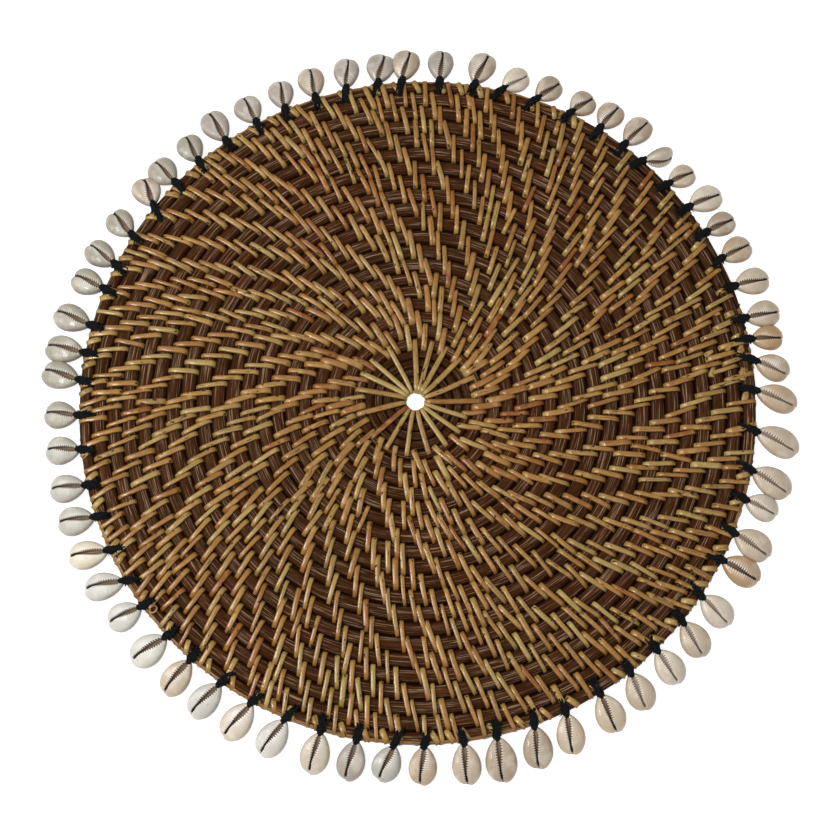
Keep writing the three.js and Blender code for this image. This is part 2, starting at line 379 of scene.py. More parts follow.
class Effects:
    """The effects that more than one finish uses, each a shader node group made once."""

    def __init__(self) -> None:
        """Builds the groups."""
        self.fibre = self.fibre_group()
        self.specks = self.speck_group()
        self.tint = self.tint_group()

    def fibre_group(self) -> bpy.types.NodeTree:
        """Fine and coarse lines that run along a strand.

        Returns:
            A group that turns a strand's own coordinates (across, up, along, in millimetres) into a
            fine line mask, a coarse line mask and a height.
        """
        sheet, given, result = new_group(
            "FibreLines",
            {"Strand": "Vector", "Fine": "Float", "Coarse": "Float"},
            {"Fine Lines": "Float", "Coarse Lines": "Float", "Height": "Float"},
        )
        # Rows are the lines' name, how far they are drawn out, their detail and their step.
        rows = (("Fine", 0.028, 2.0, (0.53, 0.66)), ("Coarse", 0.06, 3.0, (0.4, 0.57)))
        masks = []
        for name, drawn, detail, step in rows:
            along = sheet.stretched(given["Strand"], (1.0, 1.0, drawn))
            masks.append(sheet.ramp(sheet.noise(along, given[name], detail, 0.5), step))
        fine, coarse = masks
        sheet.feed(result, fine, coarse, sheet.math("MULTIPLY_ADD", coarse, 0.6, fine))
        return sheet.tree

    def speck_group(self) -> bpy.types.NodeTree:
        """Small dark marks in a skin or a shell.

        Returns:
            A group that turns a vector and an amount into a mask.
        """
        sheet, given, result = new_group(
            "DarkSpecks", {"Vector": "Vector", "Scale": "Float", "Amount": "Float"}, {"Mask": "Float"}
        )
        cells = sheet.noise(given["Vector"], given["Scale"], 1.0, 0.5)
        over = sheet.math("SUBTRACT", cells, sheet.math("SUBTRACT", 1.0, given["Amount"]))
        sheet.feed(result, sheet.ramp(over, (0.0, 0.05)))
        return sheet.tree

    def tint_group(self) -> bpy.types.NodeTree:
        """Chooses among three colours by a number that differs from strand to strand.

        Returns:
            A group that puts out one colour.
        """
        sheet, given, result = new_group(
            "StrandTint",
            {"Number": "Float", "Low": "Color", "Middle": "Color", "High": "Color"},
            {"Color": "Color"},
        )
        first = sheet.blend(sheet.ramp(given["Number"], (0.0, 0.5)), given["Low"], given["Middle"])
        sheet.feed(result, sheet.blend(sheet.ramp(given["Number"], (0.5, 1.0)), first, given["High"]))
        return sheet.tree


@dataclass(frozen=True)
class DarkRodFinish:
    """Stained rod, with long pale fibres that also carry painted glints, red patches, and painted shade on
    its sides where it lies in a groove.
    """

    deep: Color = rgb(39, 16, 4)
    body: Color = rgb(65, 36, 15)
    warm: Color = rgb(76, 39, 18)
    # Pale fibre lines, made lighter so that they also stand for painted glints of light.
    line: Color = rgb(176, 146, 116)
    # Painted groove shade: the colour of the rod's sides where shade falls between rods.
    groove_shade: Color = rgb(34, 12, 2)
    shine: Color = rgb(255, 212, 166)
    shine_level: float = 0.08
    roughness: float = 0.5
    polish: float = 0.12
    bump: float = 0.8
    bump_depth: float = 0.0004
    # How many lines a millimetre holds, and how strongly they show.
    fine_scale: float = 2.0
    coarse_scale: float = 1.25
    fine_share: float = 0.5
    coarse_share: Pair = (0.66, 0.26)
    patch_scale: float = 26.0
    patch_step: Pair = (0.45, 0.66)
    band_stretch: Triple = (0.4, 0.4, 0.018)
    band_step: Pair = (0.36, 0.62)
    # Girths between which the first turns are darker, and millimetres aside over which painted groove shade
    # darkens the rod where it meets the next.
    start_step: Pair = (0.66, 0.86)
    groove_shade_step: Pair = (1.7, 3.3)

    def material(self, effects: Effects) -> bpy.types.Material:
        """Builds the material.

        Args:
            effects: The shared groups.

        Returns:
            The material.
        """
        sheet, shader, material = new_material("DarkRod")
        section = sheet.parts(sheet.attribute("section", "Vector"))
        girth = sheet.attribute("girth")
        across, upward = (sheet.product(section[axis], girth) for axis in (0, 1))
        strand = sheet.vector(across, upward, sheet.attribute("along"))
        fibre = sheet.group(effects.fibre, strand, self.fine_scale, self.coarse_scale)
        patches = sheet.ramp(sheet.noise(sheet.place(), self.patch_scale, 2.0), self.patch_step)
        tinted = sheet.blend(patches, self.body, self.warm)
        bands = sheet.noise(sheet.stretched(strand, self.band_stretch), 1.0, 2.0)
        toned = sheet.blend(sheet.ramp(bands, self.band_step, (0.5, 0.0)), tinted, self.deep)
        grain = sheet.math("MULTIPLY_ADD", fibre["Coarse Lines"], *self.coarse_share)
        dark = sheet.blend(grain, self.deep, toned)
        # Pale fine lines: fibres, and painted glints of light along them.
        lined_and_glinted = sheet.blend(sheet.product(fibre["Fine Lines"], self.fine_share), dark, self.line)
        started = sheet.blend(sheet.ramp(girth, self.start_step, (0.5, 0.0)), lined_and_glinted, self.deep)
        # Painted groove shade: the rod's sides darken toward the next rod, where shade falls.
        side = sheet.math("ABSOLUTE", section[0])
        sheet.feed(
            shader,
            Base_Color=sheet.blend(sheet.ramp(side, self.groove_shade_step), started, self.groove_shade),
            Roughness=sheet.math("MULTIPLY_ADD", fibre["Coarse Lines"], -self.polish, self.roughness),
            Specular_IOR_Level=self.shine_level,
            Specular_Tint=self.shine,
            Normal=sheet.relief(fibre["Height"], self.bump, self.bump_depth),
        )
        return material


@dataclass(frozen=True)
class PaleSkinFinish:
    """Polished rattan skin, from olive to golden to red-brown, with fine grain and a few dark specks. Its
    sides and far end are darkened as painted shade, and its start is lightened as a painted highlight.
    """

    olive: Color = rgb(151, 127, 73)
    golden: Color = rgb(150, 108, 52)
    russet: Color = rgb(130, 72, 20)
    # Painted shade: the amber that the far part of a strip turns.
    shaded_amber: Color = rgb(133, 82, 29)
    pale: Color = rgb(188, 158, 96)
    # Painted highlight: the pale colour of a strip's start.
    tip: Color = rgb(174, 148, 86)
    grain: Color = rgb(206, 190, 160)
    stain: Color = rgb(196, 178, 150)
    # Painted shade: the dark colour of a strip's sides.
    edge: Color = rgb(66, 38, 12)
    speck: Color = rgb(34, 16, 5)
    shine: Color = rgb(255, 242, 216)
    shine_level: float = 0.45
    roughness: float = 0.3
    uneven: float = 0.22
    coat: float = 0.28
    coat_roughness: float = 0.12
    crown: float = 2.2
    bump: float = 0.4
    bump_depth: float = 0.00012
    # How many lines a millimetre holds, and how strongly they show.
    fine_scale: float = 3.4
    coarse_scale: float = 1.5
    fine_share: float = 0.2
    coarse_share: float = 0.3
    patch_scale: float = 210.0
    pale_step: Pair = (0.5, 0.78)
    russet_step: Pair = (0.26, 0.42)
    # The far part of a strip that is amber, as painted shade, as a share of it, and its pale start, a painted
    # highlight, in millimetres.
    shaded_amber_step: Pair = (0.6, 0.95)
    tip_highlight_step: Pair = (2.0, 6.0)
    # Tones between which a strip's start loses its pale tip, a painted highlight.
    tip_highlight_tones: Pair = (0.5, 0.85)
    # Millimetres across between which a strip's sides darken: painted shade.
    side_shade_step: Pair = (0.85, 1.35)
    speck_scale: float = 0.66
    speck_amount: float = 0.325
    # A few strips are cracked along a line that wanders within this many millimetres.
    crack_sway: float = 2.4
    crack_step: Pair = (0.05, 0.2)
    crack_choice: Pair = (0.84, 0.9)

    def material(self, effects: Effects) -> bpy.types.Material:
        """Builds the material.

        Args:
            effects: The shared groups.

        Returns:
            The material.
        """
        sheet, shader, material = new_material("PaleSkin")
        section = sheet.parts(sheet.attribute("section", "Vector"))
        along = sheet.attribute("along")
        tone = sheet.attribute("tone")
        strand = sheet.vector(section[0], sheet.product(tone, 37.0), along)
        fibre = sheet.group(effects.fibre, strand, self.fine_scale, self.coarse_scale)
        patches = sheet.noise(sheet.place(), self.patch_scale, 3.0)
        colour = sheet.group(effects.tint, tone, self.olive, self.golden, self.russet)[0]
        colour = sheet.blend(sheet.ramp(patches, self.pale_step, (0.0, 0.55)), colour, self.pale)
        colour = sheet.blend(sheet.ramp(patches, self.russet_step, (0.45, 0.0)), colour, self.russet)
        coarse = sheet.product(fibre["Coarse Lines"], self.coarse_share)
        colour = sheet.blend(coarse, colour, self.grain, "MULTIPLY")
        colour = sheet.blend(sheet.product(fibre["Fine Lines"], self.fine_share), colour, self.russet)
        # Painted shade: the far part of each strip turns a little amber.
        outer = sheet.ramp(sheet.attribute("share"), self.shaded_amber_step, (0.0, 0.2))
        colour = sheet.blend(outer, colour, self.shaded_amber)
        # Painted highlight: a strip's start is paler, less so on darker strips.
        near = sheet.ramp(along, self.tip_highlight_step, (0.28, 0.0))
        plain = sheet.ramp(tone, self.tip_highlight_tones, (1.0, 0.2))
        colour = sheet.blend(sheet.product(near, plain), colour, self.tip)
        # Painted shade: the strip darkens toward its sides.
        side = sheet.math("ABSOLUTE", section[0])
        colour = sheet.blend(sheet.ramp(side, self.side_shade_step, (0.0, 0.7)), colour, self.edge)
        place = sheet.stretched(strand, (1.0, 1.0, 0.5))
        specks = sheet.group(effects.specks, place, self.speck_scale, self.speck_amount)[0]
        colour = sheet.blend(sheet.product(specks, 0.95), colour, self.speck)
        stained = sheet.product(self.drawn(sheet, tone, 331.7), 0.5)
        colour = sheet.blend(stained, colour, self.stain, "MULTIPLY")
        crack = self.crack(sheet, strand, section[0], tone)
        bulge = sheet.product(section[0], section[0])
        crowned = sheet.math("MULTIPLY_ADD", bulge, -self.crown, fibre["Height"])
        rough = sheet.math("MULTIPLY_ADD", patches, self.uneven, self.roughness - 0.1)
        sheet.feed(
            shader,
            Base_Color=sheet.blend(crack, colour, self.speck),
            Roughness=sheet.math("MULTIPLY_ADD", specks, 0.5, rough),
            Coat_Weight=sheet.math("MULTIPLY_ADD", specks, -self.coat, self.coat),
            Coat_Roughness=self.coat_roughness,
            Specular_IOR_Level=self.shine_level,
            Specular_Tint=self.shine,
            Normal=sheet.relief(crowned, self.bump, self.bump_depth),
        )
        return material

    def drawn(self, sheet: NodeSheet, tone: Socket, factor: float) -> Socket:
        """Draws a strip's own number from 0 to 1 out of its tone, another one for each factor."""
        return sheet.math("FRACT", sheet.product(tone, factor))

    def crack(self, sheet: NodeSheet, strand: Socket, across: Socket, tone: Socket) -> Socket:
        """Draws the dark line of a cracked strip.

        Args:
            sheet: The material's sheet.
            strand: The strand's own coordinates.
            across: Millimetres across the strip.
            tone: The strip's tone.

        Returns:
            The line's mask, which is 0 all over a sound strip.
        """
        wander = sheet.noise(sheet.stretched(strand, (0.0, 1.0, 0.16)), 1.0, 1.0)
        offset = sheet.math("MULTIPLY_ADD", wander, self.crack_sway, -self.crack_sway / 2)
        apart = sheet.math("ABSOLUTE", sheet.math("SUBTRACT", across, offset))
        line = sheet.ramp(apart, self.crack_step, (0.75, 0.0))
        return sheet.product(line, sheet.ramp(self.drawn(sheet, tone, 917.3), self.crack_choice))


@dataclass(frozen=True)
class CowrieFinish:
    """Glossy shell in its own tint, with white ridges by the slit, painted shade that greys its flanks, and a
    brown mouth.
    """

    ridge: Color = rgb(236, 232, 225)
    pale: Color = rgb(226, 220, 208)
    # Painted shade: the grey that the shell's sloping flanks are multiplied by.
    flank_shade: Color = rgb(204, 198, 188)
    entry: Color = rgb(98, 80, 62)
    mouth: Color = rgb(90, 68, 44)
    deep: Color = rgb(46, 30, 18)
    roughness: float = 0.5
    hollow_roughness: float = 0.4
    coat: float = 0.26
    coat_roughness: float = 0.13
    bump: float = 0.3
    bump_depth: float = 0.0002
    bump_scale: float = 240.0
    cloud_scale: float = 120.0
    cloud_step: Pair = (0.46, 0.72)
    ridge_share: float = 0.75
    # Shares of the length over which the mouth turns from the entry's colour to brown, and then deep.
    entry_step: Pair = (0.1, 0.4)
    throat_step: Pair = (0.4, 0.75)
    # How hollow a point is where the slit opens, and where a notch between two teeth is cut.
    open_step: Pair = (0.3, 0.75)
    notch_step: Pair = (1.02, 1.35)
    speck_scale: float = 900.0
    speck_amount: float = 0.26
    speck_share: float = 0.5

    def material(self, effects: Effects) -> bpy.types.Material:
        """Builds the material.

        Args:
            effects: The shared groups.

        Returns:
            The material.
        """
        sheet, shader, material = new_material("Cowrie")
        hollow, ridge, flank_shade, length = (sheet.attribute(name) for name in SHELL_MARKS)
        place = sheet.place()
        clouds = sheet.ramp(sheet.noise(place, self.cloud_scale, 2.0), self.cloud_step, (0.0, 0.3))
        clouded = sheet.blend(clouds, sheet.attribute("tint", "Color"), self.pale)
        # Painted shade on the flanks, and in the lines between ridges.
        flank_shaded = sheet.blend(flank_shade, clouded, self.flank_shade, "MULTIPLY")
        ridged = sheet.blend(sheet.product(ridge, self.ridge_share), flank_shaded, self.ridge)
        near = sheet.blend(sheet.ramp(length, self.entry_step), self.entry, self.mouth)
        throat = sheet.blend(sheet.ramp(length, self.throat_step), near, self.deep)
        bitten = sheet.blend(sheet.ramp(hollow, self.notch_step, (0.0, 0.8)), throat, self.deep)
        opened = sheet.blend(sheet.ramp(hollow, self.open_step), ridged, bitten)
        specks = sheet.group(effects.specks, place, self.speck_scale, self.speck_amount)[0]
        marked = sheet.blend(sheet.product(specks, self.speck_share), opened, self.mouth)
        sheet.feed(
            shader,
            Base_Color=marked,
            Roughness=sheet.math("MULTIPLY_ADD", hollow, self.hollow_roughness, self.roughness),
            Coat_Weight=self.coat,
            Coat_Roughness=self.coat_roughness,
            Normal=sheet.relief(sheet.noise(place, self.bump_scale, 2.0), self.bump, self.bump_depth),
        )
        return material


@dataclass(frozen=True)
class ThreadFinish:
    """Black waxed thread, with its twist."""

    black: Color = rgb(6, 8, 11)
    worn: Color = rgb(22, 26, 31)
    roughness: float = 0.8
    shine_level: float = 0.15
    twist: float = 5.5
    plies: float = 2.0
    fine_scale: float = 9.0
    coarse_scale: float = 4.0
    worn_share: Pair = (0.5, 0.25)
    bump: float = 0.8
    bump_depth: float = 0.0001

    def material(self, effects: Effects) -> bpy.types.Material:
        """Builds the material.

        Args:
            effects: The shared groups.

        Returns:
            The material.
        """
        sheet, shader, material = new_material("BlackThread")
        section = sheet.parts(sheet.attribute("section", "Vector"))
        along = sheet.attribute("along")
        turned = sheet.product(sheet.math("ARCTAN2", section[1], section[0]), self.plies)
        twist = sheet.math("SINE", sheet.math("MULTIPLY_ADD", along, self.twist, turned))
        strand = sheet.vector(section[0], section[1], along)
        fibre = sheet.group(effects.fibre, strand, self.fine_scale, self.coarse_scale)
        worn = sheet.math("MULTIPLY_ADD", fibre["Fine Lines"], *self.worn_share)
        share = sheet.product(sheet.ramp(twist, (0.1, 1.0)), worn)
        sheet.feed(
            shader,
            Base_Color=sheet.blend(share, self.black, self.worn),
            Roughness=self.roughness,
            Specular_IOR_Level=self.shine_level,
            Normal=sheet.relief(twist, self.bump, self.bump_depth),
        )
        return material


@dataclass(frozen=True)
class TableFinish:
    """Plain pale table top, with the faintest grain, lit a little from below."""

    pale: Color = rgb(176, 176, 176)
    grain: Color = rgb(168, 168, 168)
    grain_scale: float = 40.0
    grain_share: float = 0.04
    roughness: float = 0.8
    shine_level: float = 0.1
    glow: float = 0.84

    def material(self) -> bpy.types.Material:
        """Builds the material and returns it."""
        sheet, shader, material = new_material("PaleTable")
        grain = sheet.product(sheet.noise(sheet.place(), self.grain_scale, 2.0), self.grain_share)
        sheet.feed(
            shader,
            Base_Color=sheet.blend(grain, self.pale, self.grain),
            Roughness=self.roughness,
            Specular_IOR_Level=self.shine_level,
            Emission_Color=(1.0, 1.0, 1.0, 1.0),
            Emission_Strength=self.glow,
        )
        return material


@dataclass
class Strand:
    """One rod, strip or thread: its points in the frame, and its own girth, tone and roll."""

    points: list[Vector]
    # Shares of the section's size, point by point, or one for them all.
    girths: list[float] | float = 1.0
    tone: float = 0.5
    roll: float = 0.0

    def marks(self) -> dict[str, list[float]]:
        """Returns the strand's girth, tone and roll at each of its points, by name."""
        count = len(self.points)
        girths = self.girths if isinstance(self.girths, list) else [self.girths] * count
        return {"girth": girths, "tone": [self.tone] * count, "roll": [self.roll] * count}


@dataclass(frozen=True)
class StrandSection:
    """The cross-section that a strand is swept with, in millimetres."""

    width: float
    height: float
    sides: int
    squareness: float = 1.0
    turned: float = 0.0


def write_marks(mesh: bpy.types.Mesh, columns: dict[str, list[float]]) -> None:
    """Writes a number for each point of a mesh, by the names of the attributes."""
    for name, values in columns.items():
        mesh.attributes.new(name, "FLOAT", "POINT").data.foreach_set("value", values)


class StrandSweep:
    """Sweeps strands with one cross-section, in Geometry Nodes."""

    # How much sooner the section's height fills out than its width.
    shoulder: float = 1.7

    def __init__(self) -> None:
        """Builds the node tree once."""
        self.tree = self.build_tree()

    def build_tree(self) -> bpy.types.NodeTree:
        """Draws up the tree.

        Returns:
            A tree with inputs for the section's width, height, sides, squareness, turn and finish.
        """
        sizes = dict.fromkeys(("Width", "Height", "Squareness", "Turned"), "Float")
        sheet, given, result = new_group(
            "StrandSweep",
            {"Paths": "Geometry", **sizes, "Sides": "Int", "Finish": "Material"},
            {"Strands": "Geometry"},
            "GeometryNodeTree",
        )

        # The path, with its length run out in millimetres and as a share of the whole.
        path = self.step(sheet, "MeshToCurve", Mesh=given["Paths"])
        path = self.step(sheet, "SetCurveNormal", {"mode": "Z_UP"}, Curve=path)
        path = self.step(sheet, "SetCurveTilt", Curve=path, Tilt=self.read(sheet, "roll"))
        run = sheet.add("GeometryNodeSplineParameter").outputs
        path = self.store(sheet, path, "along", sheet.product(run["Length"], TO_MM))
        path = self.store(sheet, path, "share", run["Factor"])

        swept = self.step(
            sheet,
            "CurveToMesh",
            Curve=path,
            Profile_Curve=self.section(sheet, given),
            Scale=self.read(sheet, "girth"),
            Fill_Caps=True,
        )
        soft = self.step(sheet, "SetShadeSmooth", Geometry=swept)
        whole = self.step(sheet, "RealizeInstances", Geometry=soft)
        sheet.feed(result, self.step(sheet, "SetMaterial", Geometry=whole, Material=given["Finish"]))
        return sheet.tree

    def section(self, sheet: NodeSheet, given: Sockets) -> Socket:
        """Draws the section, a circle drawn toward a bar with soft shoulders.

        Args:
            sheet: The tree's sheet.
            given: The tree's inputs.

        Returns:
            The section's curve, which also keeps its own places in millimetres.
        """
        circle = self.step(sheet, "CurvePrimitiveCircle", Resolution=given["Sides"], Radius=1.0)
        here = sheet.add("GeometryNodeInputPosition").outputs[0]
        turned = sheet.add("ShaderNodeVectorRotate", rotation_type="Z_AXIS")
        place = sheet.parts(sheet.feed(turned, here, Angle=given["Turned"]).outputs[0])
        square = given["Squareness"]
        sloped = sheet.math("MINIMUM", sheet.product(square, self.shoulder), 1.0)
        halves = []
        for axis, size, bend in ((0, "Width", square), (1, "Height", sloped)):
            power = sheet.math("POWER", sheet.math("ABSOLUTE", place[axis]), bend)
            signed = sheet.product(sheet.math("SIGN", place[axis]), power)
            halves.append(sheet.product(signed, sheet.product(given[size], 0.5)))
        spot = sheet.vector(*halves)
        in_mm = sheet.stretched(spot, (TO_MM, TO_MM, TO_MM))
        kept = self.store(sheet, circle, "section", in_mm, "FLOAT_VECTOR")
        return self.step(sheet, "SetPosition", Geometry=kept, Position=spot)

    def step(
        self, sheet: NodeSheet, kind: str, settings: dict[str, object] | None = None, **values: object
    ) -> Socket:
        """Adds one geometry node.

        Args:
            sheet: The tree's sheet.
            kind: The node's kind, without the words that all of them start with.
            settings: The node's own settings by name.
            values: What goes in its inputs, by identifier.

        Returns:
            The node's first output.
        """
        node = sheet.add("GeometryNode" + kind, **(settings or {}))
        return sheet.feed(node, **values).outputs[0]

    def read(self, sheet: NodeSheet, name: str) -> Socket:
        """Reads a number that the paths bring with them, by its name."""
        return self.step(sheet, "InputNamedAttribute", {"data_type": "FLOAT"}, Name=name)

    def store(
        self, sheet: NodeSheet, geometry: Socket, name: str, value: Socket, kind: str = "FLOAT"
    ) -> Socket:
        """Stores a value on each point of a geometry.

        Args:
            sheet: The tree's sheet.
            geometry: The geometry.
            name: The attribute's name.
            value: The value.
            kind: The kind of value.

        Returns:
            The geometry with the attribute.
        """
        settings = {"data_type": kind, "domain": "POINT"}
        return self.step(sheet, "StoreNamedAttribute", settings, Geometry=geometry, Name=name, Value=value)

    def paths(self, name: str, strands: list[Strand]) -> bpy.types.Object:
        """Makes the bare paths of the strands, as an object with edges alone.

        Args:
            name: The object's name.
            strands: The strands.

        Returns:
            The object, with girth, tone and roll on its points.
        """
        places: list[Vector] = []
        edges: list[tuple[int, int]] = []
        columns: dict[str, list[float]] = {"girth": [], "tone": [], "roll": []}
        for strand in strands:
            first = len(places)
            places += strand.points
            edges += [(number, number + 1) for number in range(first, len(places) - 1)]
            for key, values in strand.marks().items():
                columns[key] += values
        mesh = bpy.data.meshes.new(name)
        mesh.from_pydata(places, edges, [])
        write_marks(mesh, columns)
        return add_object(name, mesh)

    def sweep(
        self, name: str, strands: list[Strand], section: StrandSection, finish: bpy.types.Material
    ) -> bpy.types.Object:
        """Sweeps the strands into one plain mesh.

        Args:
            name: The piece's name.
            strands: The strands.
            section: The cross-section.
            finish: The material.

        Returns:
            The piece, a mesh object at the origin.
        """
        draft = self.paths(name + "_paths", strands)
        modifier = draft.modifiers.new("Sweep", "NODES")
        modifier.node_group = self.tree
        values = {
            "Width": section.width * MM,
            "Height": section.height * MM,
            "Sides": section.sides,
            "Squareness": section.squareness,
            "Turned": section.turned,
            "Finish": finish,
        }
        for item in self.tree.interface.items_tree:
            if item.item_type == "SOCKET" and item.in_out == "INPUT" and item.name in values:
                modifier[item.identifier] = values[item.name]
        graph = bpy.context.evaluated_depsgraph_get()
        mesh = bpy.data.meshes.new_from_object(draft.evaluated_get(graph), depsgraph=graph)
        mesh.name = name
        draft.modifiers.remove(modifier)
        bpy.data.objects.remove(draft)
        return add_object(name, mesh)


def report(piece: bpy.types.Object) -> None:
    """Logs a piece's name and how many triangles it has."""
    faces = sum(len(face.vertices) - 2 for face in piece.data.polygons)
    LOG.info("%s: %d triangles", piece.name, faces)


def settle(piece: bpy.types.Object, replaces: tuple[str, ...] = ()) -> None:
    """Fixes a finished piece to the frame.

    Args:
        piece: The piece, at the origin.
        replaces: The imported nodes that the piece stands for.
    """
    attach(piece, "root")
    if replaces:
        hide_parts(*replaces)
    report(piece)


@dataclass
class StrandWork:
    """A part of the mat that is made of strands in one finish."""

    spiral: Spiral
    sweep: StrandSweep
    finish: bpy.types.Material

    def make(
        self,
        name: str,
        strands: list[Strand],
        section: StrandSection,
        slot: str | None = None,
        replaces: tuple[str, ...] = (),
    ) -> None:
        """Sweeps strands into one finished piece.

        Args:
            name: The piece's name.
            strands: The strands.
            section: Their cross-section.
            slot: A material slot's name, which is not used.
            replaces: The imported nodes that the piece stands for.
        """
        settle(self.sweep.sweep(name, strands, section, self.finish), replaces)


@dataclass(frozen=True)
class RodPlace:
    """A rod where it crosses one ray: its centre, and half its width and height."""

    radius: float
    height: float
    half_width: float
    half_height: float

    def on_top(self, angle: float, wider: float, higher: float, bend: float) -> Pair:
        """Finds the place of a strip that lies on the rod.

        Args:
            angle: Degrees round the rod, 0 at its outer side and 90 on top.
            wider: Millimetres that the strip stands off at the sides.
            higher: Millimetres that it stands off on top.
            bend: How soon it reaches its full height, 1 for an oval.

        Returns:
            Its radius and height.
        """
        turned = math.radians(angle)
        rise = abs(math.sin(turned)) ** bend * (1 if angle > 0 else -1)
        out = self.radius + (self.half_width + wider) * math.cos(turned)
        return out, self.height + (self.half_height + higher) * rise


@dataclass
class RodCoil(StrandWork):
    """The dark rod, laid in one spiral from the start hole to the rim."""

    start_turn: float = -0.85
    end_turn: float = 22.992
    # Half the full rod's width and height, and the height of its centre, at the start and beyond.
    full_half: float = 3.7
    full_height: float = 3.15
    start_centre: float = 3.25
    centre: float = 3.75
    centre_turns: Pair = (3.4, 5.2)
    overlap: float = 0.18
    least_scale: float = 0.2
    squareness: float = 0.9
    sides: int = 16
    # How far a curve may stray from its chords.
    sagitta: float = 0.03
    # How far the rod sways and lifts, and over what distance.
    sway: float = 0.32
    sway_span: float = 21.0
    lift: float = 0.16
    lift_span: float = 16.0
    # The rim's rod, from the turn where it takes its own width, and where it leans on the one inside.
    rim_turns: Pair = (-0.15, 0.1)
    rim_lean: Pair = (0.05, 0.2)
    rim_spare: float = 0.15
    rim_tuck: float = 0.05
    rim_nest: float = 0.3
    rim_least: float = 0.08
    # The ring that the straps turn down over.
    ring_radius: float = 7.6
    ring_height: float = 3.2
    ring_girth: float = 0.5
    ring_steps: int = 40

    def rod(self, turn: float) -> RodPlace:
        """Finds the rod at one place of the spiral.

        Args:
            turn: Turns laid since the start, whole and part.

        Returns:
            The rod there, with the small sway of hand work.
        """
        spiral = self.spiral
        rim = spiral.rim_turn
        first, last = (rim + step for step in self.rim_turns)
        pitch = spiral.edge(turn + 1) - spiral.edge(turn)
        half = pitch / 2 + self.overlap
        middle = spiral.edge(turn) + pitch / 2
        if turn > first:
            share = smooth(turn, first, last)
            left = spiral.taper((turn - rim) * FULL_TURN) if turn > rim else 1.0
            half = mix(half, spiral.rim_width / 2 * max(left, self.rim_least) + self.rim_spare, share)
            middle = mix(middle, spiral.edge(turn) + half - self.rim_tuck, share)
        x, y = spiral.flat(middle, turn * FULL_TURN)
        sway = self.sway * noise.noise(Vector((x / self.sway_span, y / self.sway_span, 3.1)))
        first, last = (rim + step for step in self.rim_lean)
        if turn > first:
            inner = self.rod(turn - 1)
            touching = inner.radius + inner.half_width + half - self.rim_nest
            sway = mix(sway, touching - middle, smooth(turn, first, last))
        lift = self.lift * noise.noise(Vector((x / self.lift_span, y / self.lift_span, 9.7 + turn * 0.2)))
        scale = half / self.full_half
        height = mix(self.start_centre, self.centre, smooth(turn, *self.centre_turns))
        return RodPlace(middle + sway, height + lift, half, self.full_height * max(scale, self.least_scale))

    def strand(self, first: float, last: float) -> Strand:
        """Walks the spiral from one turn to another.

        Args:
            first: The turn that the piece starts at.
            last: The turn that it ends at.

        Returns:
            The strand that follows the rod's centre.
        """
        points = []
        girths = []
        turn = first
        while True:
            place = self.rod(turn)
            points.append(self.spiral.place(place.radius, turn * FULL_TURN, place.height))
            girths.append(place.half_width / self.full_half)
            if turn >= last:
                return Strand(points, girths)
            step = math.sqrt(8 * place.radius * self.sagitta)
            turn = min(turn + step / (2 * math.pi * place.radius), last)

    def ring(self) -> Strand:
        """Bends the thin rod that lines the start hole into a ring, its first point again at the end."""
        angles = [2 * math.pi * step / self.ring_steps for step in range(self.ring_steps + 1)]
        points = [self.spiral.beside(angle, self.ring_radius, 0.0, self.ring_height) for angle in angles]
        return Strand(points, self.ring_girth)

    def build(self) -> None:
        """Builds the coil inside the rim, with its ring, and the rim's own turn."""
        rim = self.spiral.rim_turn
        section = StrandSection(self.full_half * 2, self.full_height * 2, self.sides, self.squareness)
        inside = [self.strand(self.start_turn, rim), self.ring()]
        self.make("dark_coil", inside, section, "dark_rattan", ("mat",))
        self.make("rim_rod", [self.strand(rim, self.end_turn)], section, "rim_rattan", ("rim_coil",))


